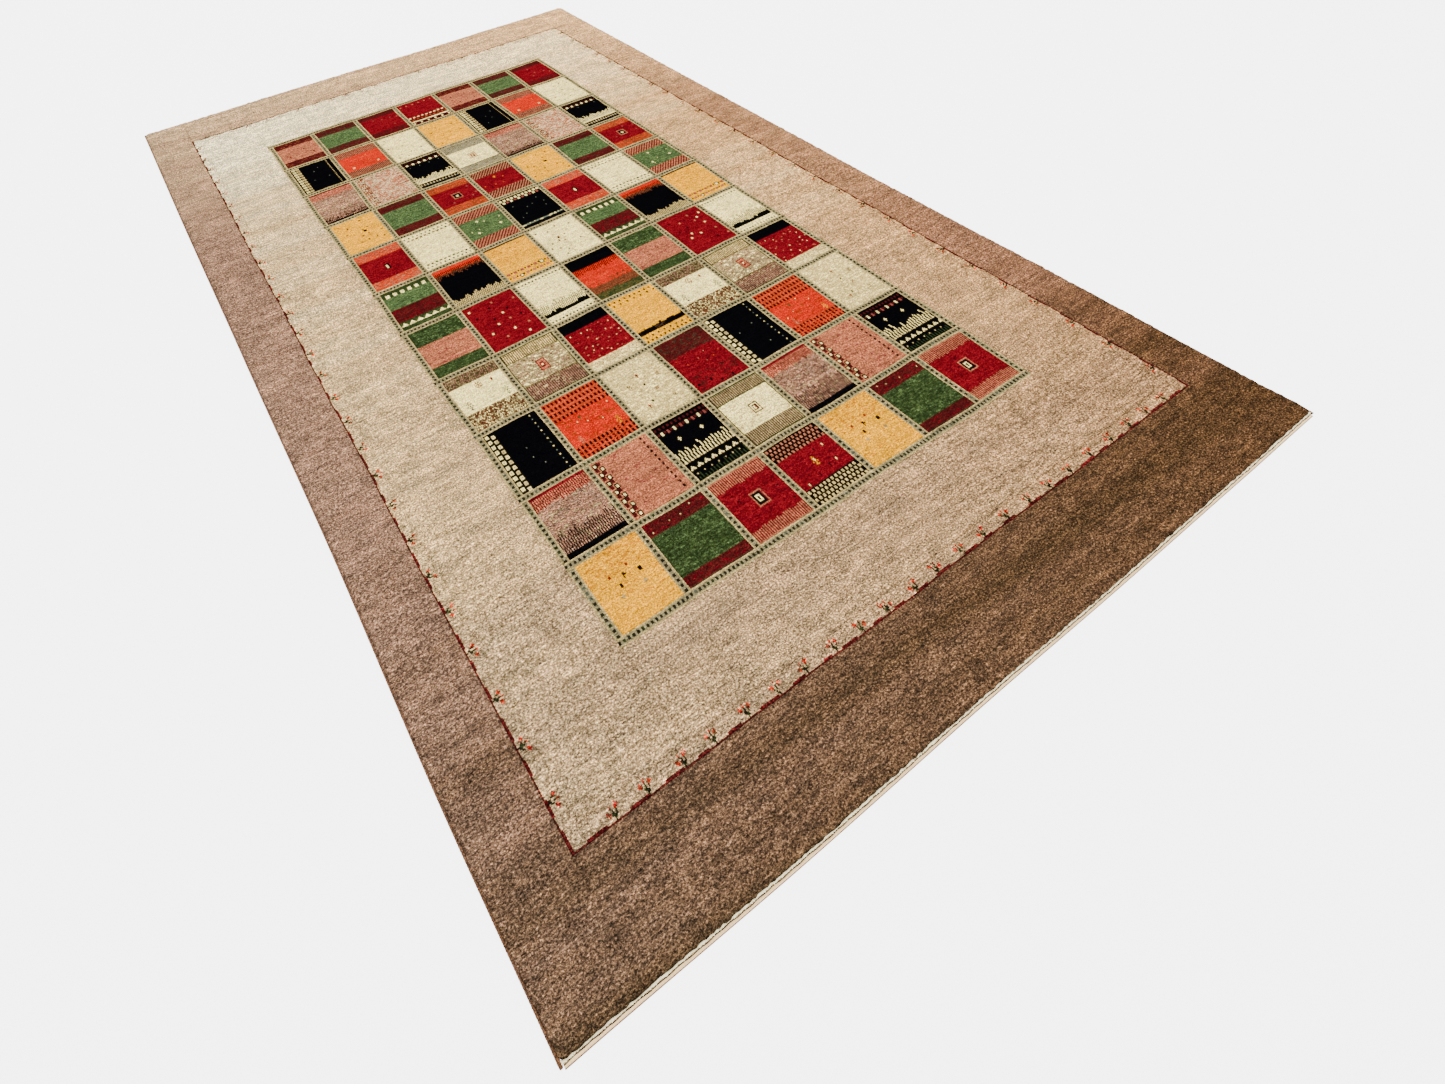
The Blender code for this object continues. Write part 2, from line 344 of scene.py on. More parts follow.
def line_side(line, place, low, high):
    """A side of the red line between its two ends, with the small wander of a hand-knotted line."""
    share = (place - low) / (high - low)
    wander = 0.0012 * np.sin(2 * math.pi * place / 0.61) + 0.0007 * np.sin(2 * math.pi * place / 0.17 + 1.0)
    return line[0] + (line[1] - line[0]) * share + wander * np.sin(math.pi * np.clip(share, 0.0, 1.0))


class Chart:
    """A panel's design, knot by knot. Rows run from the far side (0) to the near side (1)."""

    def __init__(self, columns, rows, draw):
        self.columns = columns
        self.rows = rows
        self.draw = draw
        self.knots = np.zeros((rows, columns), dtype=int)

    def row(self, share):
        return int(round(share * self.rows))

    def column(self, share):
        return int(round(share * self.columns))

    def knot(self, row, column, dye):
        """Colour one knot, if it lies in the panel."""
        if 0 <= row < self.rows and 0 <= column < self.columns:
            self.knots[row, column] = DYE_INDEX[dye]

    def block(self, row, column, tall, wide, dye):
        for r in range(row, row + tall):
            for c in range(column, column + wide):
                self.knot(r, c, dye)

    def ground(self, dye):
        self.knots[:] = DYE_INDEX[dye]

    def band(self, top, bottom, dye, ragged=0):
        """A band across the panel, whose upper edge may stray by some knots."""
        first, last = self.row(top), self.row(bottom)
        step = 0
        for c in range(self.columns):
            if ragged and self.draw.random() < 0.35:
                step = self.draw.randint(-ragged, ragged)
            for r in range(first + step, last):
                self.knot(r, c, dye)

    def mottle(self, top, bottom, dye, amount, longest=4):
        """Short runs of another dye, scattered over a band."""
        first, last = self.row(top), self.row(bottom)
        runs = int(amount * (last - first) * self.columns / (longest / 2 + 0.5))
        for _ in range(runs):
            r = self.draw.randrange(first, max(last, first + 1))
            c = self.draw.randrange(-1, self.columns)
            self.block(r, c, 1, self.draw.randint(1, longest), dye)

    def hairs(self, root, tip, dye, fill=0.55, shortest=0.35):
        """Upright hair lines that grow from one level towards another, uneven in length."""
        first, last = self.row(root), self.row(tip)
        way = 1 if last > first else -1
        for c in range(self.columns):
            if self.draw.random() > fill:
                continue
            length = int(abs(last - first) * self.draw.uniform(shortest, 1.0))
            drift = self.draw.choice((0, 0, 1))
            for k in range(length):
                self.knot(first + way * k, c + (drift if k > length * 0.55 else 0), dye)

    def comb(self, root, tip, dye, other=None, wave=0, ragged=0.4, pitch=2):
        """Upright hatch lines from one level towards another, wavy if asked, with uneven tips."""
        first, last = self.row(root), self.row(tip)
        way = 1 if last > first else -1
        reach = abs(last - first)
        for c in range(-1, self.columns + 2, pitch):
            length = int(round(reach * (1 - ragged * self.draw.random())))
            for k in range(reach):
                bend = (k // wave) % 2 if wave else 0
                if k < length:
                    self.knot(first + way * k, c + bend, dye)
                if other and k < reach * (1 - ragged * 0.6):
                    self.knot(first + way * k, c + bend + 1, other)

    def dots(self, place, dye, pitch=4, tall=2, wide=2, start=1, other=None, skip=0.0):
        """A row of dots, all of one dye or of two by turns."""
        row = self.row(place)
        for turn, c in enumerate(range(start, self.columns - 1, pitch)):
            if self.draw.random() >= skip:
                self.block(row, c, tall, wide, other if other and turn % 2 else dye)

    def post(self, place, dye, pitch=4, tall=2, wide=2, start=1, other=None, skip=0.0):
        """A column of dots."""
        column = self.column(place)
        for turn, r in enumerate(range(start, self.rows - 1, pitch)):
            if self.draw.random() >= skip:
                self.block(r, column, tall, wide, other if other and turn % 2 else dye)

    def boxes(self, column, outer, inner, pitch=5, tall=4, wide=4, start=1, second=None):
        """A column of small boxes, each a frame with a filling. The second pair of dyes takes every other box."""
        for turn, r in enumerate(range(start, self.rows - 2, pitch)):
            frame_dye, filling = second if second and turn % 2 else (outer, inner)
            less = 1 if frame_dye == filling else 0
            self.block(r, column, tall - less, wide - less, frame_dye)
            self.block(r + 1, column + 1, tall - 2 - less, wide - 2 - less, filling)

    def lattice_dots(self, top, bottom, dye, across=4, down=4, wide=2, tall=2, shift=0):
        """Rows of dots over a band, the odd rows moved sideways."""
        for turn, r in enumerate(range(self.row(top) + 1, self.row(bottom) - 1, down)):
            for c in range(1 + (shift if turn % 2 else 0), self.columns - 1, across):
                self.block(r, c, tall, wide, dye)

    def slants(self, top, bottom, dye, pitch=4, wide=2):
        """Slanting stripes over a band."""
        for r in range(self.row(top), self.row(bottom)):
            for c in range(self.columns):
                if (c + r) % pitch < wide:
                    self.knot(r, c, dye)

    def uprights(self, top, bottom, dyes, widest=2, broken=0.0):
        """Narrow upright stripes of several dyes over a band."""
        c = 0
        turn = 0
        while c < self.columns:
            wide = self.draw.randint(1, widest)
            for r in range(self.row(top), self.row(bottom)):
                if self.draw.random() >= broken:
                    for k in range(wide):
                        self.knot(r, c + k, dyes[turn % len(dyes)])
            c += wide
            turn += 1

    def checks(self, top, bottom, dyes):
        """Small uneven checks of several dyes."""
        for r in range(self.row(top), self.row(bottom)):
            for c in range(self.columns):
                turn = (c // 1 + r // 1) % 2
                self.knot(r, c, dyes[0] if turn else self.draw.choice(dyes[1:]))

    def scatter(self, dyes, count, top=0.08, bottom=0.92, left=0.06, right=0.94, tall=2, wide=2):
        """Scattered dots, kept apart from each other."""
        placed = []
        for turn in range(count):
            for _ in range(40):
                across = self.draw.uniform(left, right)
                down = self.draw.uniform(top, bottom)
                if all(math.hypot(across - a, down - d) > 0.13 for a, d in placed):
                    break
            placed.append((across, down))
            self.block(self.row(down), self.column(across), tall, wide, dyes[turn % len(dyes)])

    def square(self, across, down, rings):
        """Squares inside each other, from the outer (dye, size in knots) to the inner."""
        row, column = self.row(down), self.column(across)
        for dye, tall, wide in rings:
            self.block(row - tall // 2, column - wide // 2, tall, wide, dye)

    def teeth(self, place, dye, pitch=6, tall=3, way=1):
        """A row of small triangles standing on a level."""
        row = self.row(place)
        for start in range(0, self.columns, pitch):
            for k in range(tall):
                half = (tall - 1 - k) * pitch // (2 * tall)
                self.block(row - way * k, start + pitch // 2 - half, 1, 2 * half + 1, dye)

    def motif(self, across, down, chart, dye, other=None):
        """A small charted motif, centred on a place."""
        row = self.row(down) - len(chart) // 2
        column = self.column(across) - len(chart[0]) // 2
        for r, line in enumerate(chart):
            for c, mark in enumerate(line):
                if mark != ".":
                    self.knot(row + r, column + c, other if other and mark == "g" else dye)

    def outline(self, dye):
        for edge in (self.knots[0, :], self.knots[-1, :], self.knots[:, 0], self.knots[:, -1]):
            edge[:] = DYE_INDEX[dye]


# How strongly the wool of a panel is flecked, by its ground; this also sets how strong the painted shade between its
# knots is.
PANEL_HEATHER_AND_SHADE = {"camel": 1.0, "stone": 0.8, "pink": 0.65, "green": 0.55, "moss": 0.6, "red": 0.45, "black": 0.3}

# The panels' designs. Rows run from the far end to the near end. The first three designs of a row come again.
DESIGNS = (
    (
        (("ground", "pink"), ("mottle", 0.2, 0.8, "rose", 0.08), ("band", 0.0, 0.2, "maroon"),
         ("mottle", 0.0, 0.2, "rust", 0.15), ("band", 0.78, 1.0, "maroon"), ("mottle", 0.78, 1.0, "rust", 0.15),
         ("scatter", ("rose", "brown"), 7, 0.26, 0.72), ("motif", 0.22, 0.62, BUD, "red"),
         ("motif", 0.8, 0.64, BUD, "black")),
        (("ground", "green"), ("mottle", 0.25, 0.75, "fern", 0.25), ("mottle", 0.25, 0.75, "leaf", 0.08),
         ("band", 0.0, 0.24, "maroon"), ("mottle", 0.0, 0.24, "brown", 0.4), ("band", 0.76, 1.0, "maroon"),
         ("mottle", 0.76, 1.0, "brown", 0.4)),
        (("ground", "red"), ("mottle", 0.0, 0.78, "wine", 0.25), ("band", 0.0, 0.16, "maroon"),
         ("band", 0.78, 1.0, "maroon"), ("mottle", 0.78, 1.0, "wine", 0.3), ("scatter", ("rose",), 5, 0.2, 0.7)),
        (("ground", "red"), ("mottle", 0.0, 0.7, "wine", 0.3), ("dots", 0.09, "pink", 9, 2, 2, 3),
         ("band", 0.70, 1.0, "maroon"), ("dots", 0.66, "cream", 6, 2, 3), ("dots", 0.75, "salmon", 6, 2, 3, 4),
         ("band", 0.83, 0.87, "cream"), ("dots", 0.90, "cream", 5, 3, 2, 1, "black")),
    ),
    (
        (("ground", "black"), ("boxes", 2, "cream", "black", 5, 3, 4), ("boxes", 7, "ivory", "black", 5, 3, 4),
         ("post", 0.88, "ivory", 3, 1, 1), ("scatter", ("slate",), 4, 0.2, 0.8, 0.3, 0.8, 1, 1)),
        (("ground", "orange"), ("comb", 0.0, 0.25, "pink", "maroon", 0, 0.15), ("comb", 0.76, 1.0, "pink", "black", 0, 0.0),
         ("mottle", 0.25, 0.76, "salmon", 0.08), ("motif", 0.2, 0.66, CROSSLET, "cream"),
         ("motif", 0.8, 0.66, CROSSLET, "cream"), ("scatter", ("gold", "maroon"), 6, 0.3, 0.6, 0.1, 0.9, 1, 1)),
        (("ground", "cream"), ("mottle", 0.0, 1.0, "ivory", 0.1), ("scatter", ("maroon", "moss", "brown"), 11)),
        (("ground", "yellow"), ("mottle", 0.0, 1.0, "gold", 0.06), ("scatter", ("rust", "brown", "gold"), 14)),
    ),
    (
        (("ground", "camel"), ("mottle", 0.2, 0.85, "stone", 0.15), ("mottle", 0.2, 0.85, "rosewood", 0.15),
         ("band", 0.0, 0.04, "maroon"), ("comb", 0.03, 0.24, "rose", "pink", 3, 0.3),
         ("comb", 0.95, 0.76, "brown", None, 3, 0.5), ("comb", 0.96, 0.84, "black", None, 0, 0.5),
         ("band", 0.95, 1.0, "black")),
        (("ground", "pink"), ("mottle", 0.0, 1.0, "sand", 0.6), ("boxes", 1, "maroon", "cream", 5, 3, 4, 1, ("black", "cream")),
         ("boxes", 6, "black", "pink", 5, 3, 4, 1, ("maroon", "cream")), ("post", 0.90, "black", 4, 2, 1)),
        (("ground", "black"), ("dots", 0.04, "maroon", 3, 2, 1), ("dots", 0.10, "cream", 8, 3, 3, 4),
         ("dots", 0.12, "rose", 8, 2, 1, 1), ("dots", 0.23, "slate", 13, 1, 1, 6, None, 0.4),
         ("comb", 0.80, 0.58, "cream", None, 3, 0.5), ("band", 0.80, 0.85, "cream"),
         ("dots", 0.88, "ivory", 4, 3, 1), ("dots", 0.91, "slate", 4, 1, 3, 2), ("dots", 0.9, "maroon", 8, 2, 1, 3)),
        (("ground", "cream"), ("mottle", 0.25, 0.8, "ivory", 0.15), ("comb", 0.0, 0.25, "slate", "stone", 0, 0.0),
         ("mottle", 0.0, 0.25, "brown", 0.06), ("comb", 0.80, 1.0, "slate", "stone", 0, 0.0),
         ("mottle", 0.80, 1.0, "brown", 0.06), ("band", 0.79, 0.81, "moss"),
         ("square", 0.5, 0.52, (("rose", 10, 10), ("cream", 8, 8), ("red", 6, 6), ("cream", 2, 2)))),
    ),
    (
        (("ground", "yellow"), ("mottle", 0.0, 1.0, "gold", 0.06), ("scatter", ("brown", "rust", "olive"), 13),
         ("square", 0.6, 0.45, (("black", 3, 4),))),
        (("ground", "green"), ("mottle", 0.2, 0.8, "leaf", 0.08), ("mottle", 0.2, 0.8, "fern", 0.3),
         ("band", 0.0, 0.21, "maroon"), ("mottle", 0.0, 0.2, "brown", 0.15), ("band", 0.78, 1.0, "maroon"),
         ("mottle", 0.8, 1.0, "brown", 0.15)),
        (("ground", "red"), ("mottle", 0.2, 0.8, "wine", 0.35), ("band", 0.0, 0.21, "amber"),
         ("mottle", 0.0, 0.2, "rust", 0.3), ("mottle", 0.0, 0.2, "salmon", 0.15), ("band", 0.77, 1.0, "amber"),
         ("mottle", 0.78, 1.0, "rust", 0.3), ("mottle", 0.78, 1.0, "salmon", 0.15), ("scatter", ("rose",), 5, 0.26, 0.7),
         ("square", 0.5, 0.49, (("pink", 10, 11), ("black", 8, 9), ("cream", 3, 3), ("black", 1, 1)))),
        (("ground", "red"), ("mottle", 0.2, 0.8, "wine", 0.3), ("band", 0.0, 0.23, "pink"),
         ("slants", 0.0, 0.23, "black"), ("band", 0.76, 1.0, "pink"), ("slants", 0.76, 1.0, "black"),
         ("motif", 0.45, 0.34, BUD, "gold"), ("motif", 0.2, 0.62, CROSSLET, "black"),
         ("motif", 0.7, 0.64, CROSSLET, "black"), ("scatter", ("salmon",), 6, 0.28, 0.72)),
    ),
    (
        (("ground", "red"), ("mottle", 0.2, 0.8, "wine", 0.35), ("band", 0.0, 0.21, "salmon"),
         ("mottle", 0.0, 0.2, "pink", 0.3), ("mottle", 0.0, 0.2, "rose", 0.1), ("band", 0.78, 1.0, "salmon"),
         ("mottle", 0.79, 1.0, "pink", 0.3), ("square", 0.5, 0.5, (("black", 8, 5), ("cream", 5, 2)))),
        (("ground", "cream"), ("mottle", 0.1, 0.85, "ivory", 0.12), ("dots", 0.03, "moss", 5, 2, 2, 1, "black"),
         ("dots", 0.10, "maroon", 5, 2, 3, 3, "moss"), ("dots", 0.85, "moss", 5, 2, 3, 3, "black"),
         ("dots", 0.92, "black", 5, 2, 2, 1)),
        (("ground", "green"), ("mottle", 0.2, 0.8, "leaf", 0.1), ("mottle", 0.2, 0.8, "fern", 0.25), ("band", 0.0, 0.23, "pink"),
         ("slants", 0.0, 0.23, "maroon"), ("band", 0.76, 1.0, "pink"), ("slants", 0.76, 1.0, "maroon"),
         ("motif", 0.4, 0.32, BLOSSOM, "cream"), ("motif", 0.25, 0.62, BLOSSOM, "cream"),
         ("motif", 0.8, 0.58, BLOSSOM, "cream"), ("scatter", ("leaf", "cream"), 9, 0.28, 0.7, 0.1, 0.9, 1, 1)),
        (("ground", "black"), ("dots", 0.03, "cream", 5, 3, 3), ("dots", 0.11, "cream", 5, 3, 3, 3, "rose"),
         ("scatter", ("slate",), 8, 0.22, 0.8, 0.1, 0.9, 1, 1), ("band", 0.88, 0.91, "slate"),
         ("mottle", 0.88, 0.91, "cream", 0.4)),
    ),
    (
        (("ground", "green"), ("mottle", 0.1, 0.5, "leaf", 0.1), ("mottle", 0.1, 0.5, "fern", 0.25), ("band", 0.0, 0.16, "moss"),
         ("dots", 0.07, "cream", 8, 4, 4, 4), ("band", 0.48, 0.80, "maroon"), ("mottle", 0.5, 0.8, "wine", 0.25),
         ("band", 0.80, 1.0, "moss"), ("mottle", 0.82, 1.0, "fern", 0.4), ("teeth", 0.885, "cream", 8, 4)),
        (("ground", "black"), ("comb", 0.07, 0.26, "rust", None, 3, 0.4), ("comb", 0.07, 0.17, "orange", None, 0, 0.5),
         ("band", 0.0, 0.08, "orange"), ("comb", 1.0, 0.78, "ivory", None, 3, 0.45)),
        (("ground", "yellow"), ("mottle", 0.0, 0.55, "gold", 0.25), ("band", 0.0, 0.035, "brown"),
         ("scatter", ("rust", "gold", "brown"), 15, 0.08, 0.62, 0.06, 0.94, 1, 2), ("dots", 0.77, "rose", 8, 3, 4),
         ("dots", 0.78, "black", 8, 2, 2, 6), ("dots", 0.89, "black", 8, 2, 2, 1), ("dots", 0.88, "pink", 8, 3, 4, 4),
         ("square", 0.82, 0.80, (("black", 5, 5), ("cream", 3, 3))), ("square", 0.3, 0.92, (("black", 4, 4), ("cream", 2, 2)))),
        (("ground", "cream"), ("mottle", 0.0, 1.0, "ivory", 0.1), ("scatter", ("moss", "maroon", "brown"), 12),
         ("square", 0.38, 0.42, (("maroon", 3, 3),)), ("square", 0.35, 0.50, (("black", 3, 2),))),
    ),
    (
        (("ground", "pink"), ("mottle", 0.3, 0.8, "rose", 0.12), ("band", 0.0, 0.32, "moss"),
         ("mottle", 0.0, 0.31, "green", 0.35), ("mottle", 0.0, 0.31, "fern", 0.2), ("band", 0.79, 1.0, "moss"),
         ("mottle", 0.8, 1.0, "fern", 0.45)),
        (("ground", "red"), ("mottle", 0.0, 1.0, "wine", 0.3), ("scatter", ("cream", "black", "pink"), 16)),
        (("ground", "cream"), ("mottle", 0.2, 0.6, "ivory", 0.12), ("dots", 0.03, "black", 4, 2, 2),
         ("dots", 0.11, "maroon", 4, 1, 1, 1, "moss"), ("comb", 0.80, 0.56, "black", None, 3, 0.5),
         ("band", 0.77, 0.86, "black", 1), ("dots", 0.89, "moss", 5, 1, 1, 1, "rose"), ("dots", 0.94, "black", 4, 2, 2)),
        (("ground", "orange"), ("band", 0.0, 0.24, "black"), ("comb", 0.22, 0.40, "black", None, 3, 0.4),
         ("mottle", 0.40, 0.66, "salmon", 0.06), ("band", 0.70, 1.0, "rust"), ("mottle", 0.62, 0.72, "rust", 0.35),
         ("band", 0.86, 1.0, "olive"), ("mottle", 0.84, 1.0, "moss", 0.4)),
    ),
    (
        (("ground", "cream"), ("checks", 0.0, 0.20, ("brown", "camel", "stone", "olive")),
         ("checks", 0.70, 1.0, ("brown", "stone", "cream", "rust")), ("motif", 0.16, 0.56, TREE, "navy"),
         ("motif", 0.86, 0.57, TREE, "green"), ("motif", 0.5, 0.29, ROSETTE, "red"),
         ("square", 0.76, 0.29, (("red", 3, 2),)), ("scatter", ("moss", "rose"), 5, 0.26, 0.5, 0.1, 0.9, 1, 1)),
        (("ground", "stone"), ("mottle", 0.2, 0.7, "cream", 0.12), ("mottle", 0.2, 0.7, "camel", 0.15),
         ("comb", 0.0, 0.20, "brown", "ivory", 0, 0.0), ("band", 0.19, 0.215, "olive"),
         ("comb", 0.71, 1.0, "camel", "brown", 0, 0.0), ("mottle", 0.72, 1.0, "stone", 0.1), ("band", 0.70, 0.72, "olive"),
         ("scatter", ("rust", "maroon"), 13, 0.24, 0.66, 0.06, 0.94, 1, 2),
         ("square", 0.5, 0.47, (("red", 12, 9), ("pink", 10, 7), ("red", 6, 4), ("cream", 2, 2))), ("outline", "moss")),
        (("ground", "red"), ("mottle", 0.2, 0.8, "wine", 0.2), ("band", 0.0, 0.19, "black"),
         ("scatter", ("pink", "cream"), 26, 0.24, 0.78, 0.04, 0.96, 1, 1), ("scatter", ("pink",), 12, 0.24, 0.78, 0.06, 0.94, 1, 2),
         ("band", 0.82, 1.0, "ivory"), ("mottle", 0.83, 1.0, "cream", 0.4), ("lattice_dots", 0.84, 0.98, "rose", 4, 3, 1, 1, 2)),
        (("ground", "yellow"), ("mottle", 0.2, 0.7, "gold", 0.06), ("dots", 0.03, "black", 6, 2, 2),
         ("dots", 0.11, "black", 8, 2, 2, 3), ("band", 0.74, 0.84, "black", 1), ("mottle", 0.76, 0.83, "brown", 0.1),
         ("dots", 0.87, "moss", 7, 2, 2, 3, "brown"), ("dots", 0.94, "black", 5, 2, 2)),
    ),
    (
        (("ground", "black"), ("boxes", 1, "cream", "ivory", 5, 3, 3, 1, ("cream", "rose")),
         ("boxes", 6, "cream", "amber", 5, 3, 3, 3, ("ivory", "slate")), ("post", 0.86, "cream", 4, 1, 1, 2, "slate"),
         ("scatter", ("slate",), 3, 0.3, 0.8, 0.3, 0.7, 1, 1)),
        (("ground", "orange"), ("mottle", 0.33, 0.78, "amber", 0.10), ("band", 0.0, 0.32, "salmon"),
         ("lattice_dots", 0.0, 0.33, "black", 4, 5, 2, 3), ("band", 0.79, 1.0, "salmon"),
         ("lattice_dots", 0.79, 1.02, "black", 4, 4, 2, 3), ("mottle", 0.8, 1.0, "orange", 0.12),
         ("motif", 0.16, 0.72, SMALL_TREE, "pink"), ("motif", 0.84, 0.72, SMALL_TREE, "gold"),
         ("motif", 0.38, 0.43, FLAG, "olive"), ("scatter", ("cream", "olive"), 8, 0.38, 0.62, 0.08, 0.92, 1, 1)),
        (("ground", "ivory"), ("mottle", 0.0, 1.0, "cream", 0.3), ("motif", 0.49, 0.26, BUD, "red"),
         ("motif", 0.23, 0.38, CROSSLET, "maroon"), ("motif", 0.8, 0.38, CROSSLET, "maroon"),
         ("motif", 0.6, 0.58, CROSSLET, "red"), ("motif", 0.28, 0.78, BUD, "red"), ("motif", 0.76, 0.78, CROSSLET, "maroon"),
         ("square", 0.49, 0.45, (("black", 2, 2),)), ("square", 0.4, 0.73, (("moss", 2, 2),))),
        (("ground", "red"), ("mottle", 0.30, 1.0, "wine", 0.4), ("mottle", 0.70, 1.0, "maroon", 0.25),
         ("band", 0.0, 0.32, "maroon"), ("mottle", 0.0, 0.34, "brown", 0.25),
         ("scatter", ("salmon", "pink"), 7, 0.36, 0.6, 0.1, 0.9, 1, 1), ("scatter", ("black",), 4, 0.82, 0.94)),
    ),
    (
        (("ground", "camel"), ("mottle", 0.0, 1.0, "stone", 0.10), ("mottle", 0.0, 1.0, "rosewood", 0.2),
         ("comb", 0.04, 0.25, "wine", "pink", 5, 0.3), ("band", 0.0, 0.045, "wine"),
         ("comb", 0.93, 0.58, "black", None, 5, 0.3), ("band", 0.92, 1.0, "black")),
        (("ground", "pink"), ("mottle", 0.0, 1.0, "rose", 0.05), ("boxes", 1, "black", "cream", 4, 4, 4, 1, ("maroon", "maroon")),
         ("boxes", 5, "maroon", "maroon", 4, 4, 4, 1, ("black", "cream")), ("post", 0.88, "black", 4, 2, 2)),
        (("ground", "black"), ("dots", 0.03, "maroon", 4, 2, 2), ("dots", 0.12, "cream", 6, 3, 2, 4, "rose"),
         ("dots", 0.13, "maroon", 6, 2, 2, 1), ("motif", 0.26, 0.32, BLOSSOM, "cream"), ("motif", 0.68, 0.31, BLOSSOM, "cream"),
         ("comb", 0.68, 0.42, "cream", None, 5, 0.55, 3), ("dots", 0.67, "ivory", 2, 1, 1), ("teeth", 0.80, "cream", 7, 3),
         ("dots", 0.81, "red", 7, 1, 1, 3), ("comb", 1.0, 0.85, "moss", None, 0, 0.5, 3), ("dots", 0.88, "ivory", 7, 1, 1, 3)),
        (("ground", "cream"), ("mottle", 0.2, 0.75, "ivory", 0.15), ("comb", 0.0, 0.20, "brown", "stone", 0, 0.0),
         ("band", 0.19, 0.215, "moss"), ("comb", 0.76, 1.0, "brown", "stone", 0, 0.0), ("band", 0.75, 0.77, "moss"),
         ("square", 0.5, 0.48, (("maroon", 9, 9), ("cream", 7, 7), ("maroon", 5, 5), ("cream", 3, 2), ("maroon", 1, 1))),
         ("outline", "moss")),
    ),
    (
        (("ground", "yellow"), ("mottle", 0.0, 0.35, "gold", 0.4), ("mottle", 0.35, 1.0, "gold", 0.08),
         ("square", 0.30, 0.34, (("red", 2, 2),)), ("square", 0.62, 0.30, (("red", 2, 2),)),
         ("motif", 0.5, 0.40, FLAG, "black"), ("square", 0.74, 0.42, (("black", 3, 3),)),
         ("square", 0.38, 0.50, (("black", 3, 2),)), ("motif", 0.30, 0.62, BLOSSOM, "stone"),
         ("motif", 0.70, 0.60, BLOSSOM, "stone")),
        (("ground", "moss"), ("mottle", 0.2, 0.84, "fern", 0.5), ("mottle", 0.2, 0.84, "green", 0.06),
         ("band", 0.0, 0.20, "maroon"), ("mottle", 0.0, 0.2, "wine", 0.2), ("band", 0.84, 1.0, "maroon"),
         ("mottle", 0.84, 1.0, "wine", 0.15), ("scatter", ("ivory",), 4, 0.03, 0.16, 0.06, 0.94, 1, 1), ("band", 0.97, 1.0, "brown")),
        (("ground", "red"), ("mottle", 0.2, 0.8, "wine", 0.35), ("comb", 0.02, 0.21, "pink", "wine", 0, 0.12),
         ("band", 0.0, 0.02, "pink"), ("comb", 0.98, 0.79, "pink", "wine", 0, 0.12), ("band", 0.98, 1.0, "pink"),
         ("square", 0.5, 0.5, (("pink", 11, 11), ("wine", 9, 9), ("black", 9, 8), ("cream", 5, 4), ("black", 3, 2))),
         ("scatter", ("black", "wine"), 6, 0.26, 0.74, 0.08, 0.92, 1, 2)),
        (("ground", "red"), ("mottle", 0.25, 0.75, "wine", 0.35), ("band", 0.0, 0.25, "black"),
         ("lattice_dots", 0.0, 0.25, "pink", 4, 3, 2, 2, 2), ("band", 0.75, 1.0, "black"),
         ("lattice_dots", 0.75, 1.02, "ivory", 4, 3, 2, 2, 2), ("motif", 0.5, 0.46, SMALL_TREE, "gold"),
         ("scatter", ("cream", "black"), 7, 0.3, 0.7, 0.08, 0.92, 2, 1)),
    ),
)


def dye_table():
    """The dyes' colours, in the order of their names."""
    dyes = bpy.context.scene.wool_dyes
    return np.array([tuple(getattr(dyes, name)) for name in DYE_NAMES])


def abrash_and_painted_light(names, left, right, x, y):
    """The wool's colour along the rug: its dye's own strays, with painted light that makes the far end lighter and
    paler and lifts the near end a little.
    """
    table = dye_table()
    colours = np.array([table[DYE_INDEX[name]] for name in names])
    metres = y + RUG_LENGTH / 2
    side = np.clip(x / RUG_WIDTH + 0.5, 0.0, 1.0)
    stray = 0.10 * np.sin(2 * math.pi * metres / 0.19 + 1.2 * x) + 0.07 * np.sin(2 * math.pi * metres / 0.071 + 2.6 * x)
    place = eased_table(left, metres) * (1 - side) + eased_table(right, metres) * side + stray
    place = np.clip(place, 0.0, len(names) - 1.001)
    low = place.astype(int)
    part = (place - low)[..., None]
    mixed = colours[low] * (1 - part) + colours[low + 1] * part
    return mixed * (1 - side[..., None] * np.array(YELLOWING))


def border_colour(x, y):
    return abrash_and_painted_light(BORDER_DYES, BORDER_LEFT, BORDER_RIGHT, x, y)


def field_colour(x, y):
    return abrash_and_painted_light(FIELD_DYES, FIELD_LEFT, FIELD_RIGHT, x, y)


def stations(start, end, cell):
    """Even places from start to end, about a cell apart."""
    return np.linspace(start, end, max(2, int(round((end - start) / cell)) + 1))


def facet_middles(grid):
    """The middle of each facet of a grid of corners."""
    return (grid[:-1, :-1] + grid[1:, :-1] + grid[:-1, 1:] + grid[1:, 1:]) / 4


def corner_spread(colours, softness):
    """Each facet's colour at its four corners, a little mixed with its neighbours'."""
    rows, columns, parts = colours.shape
    wide = np.pad(colours, ((1, 1), (1, 1), (0, 0)), mode="edge")
    corner = (wide[:-1, :-1] + wide[1:, :-1] + wide[:-1, 1:] + wide[1:, 1:]) / 4
    own = colours
    spread = np.empty((rows, columns, 4, parts))
    for k, (down, across) in enumerate(((0, 0), (0, 1), (1, 1), (1, 0))):
        near = corner[down:down + rows, across:across + columns]
        spread[:, :, k] = own * (1 - softness) + near * softness
    return spread


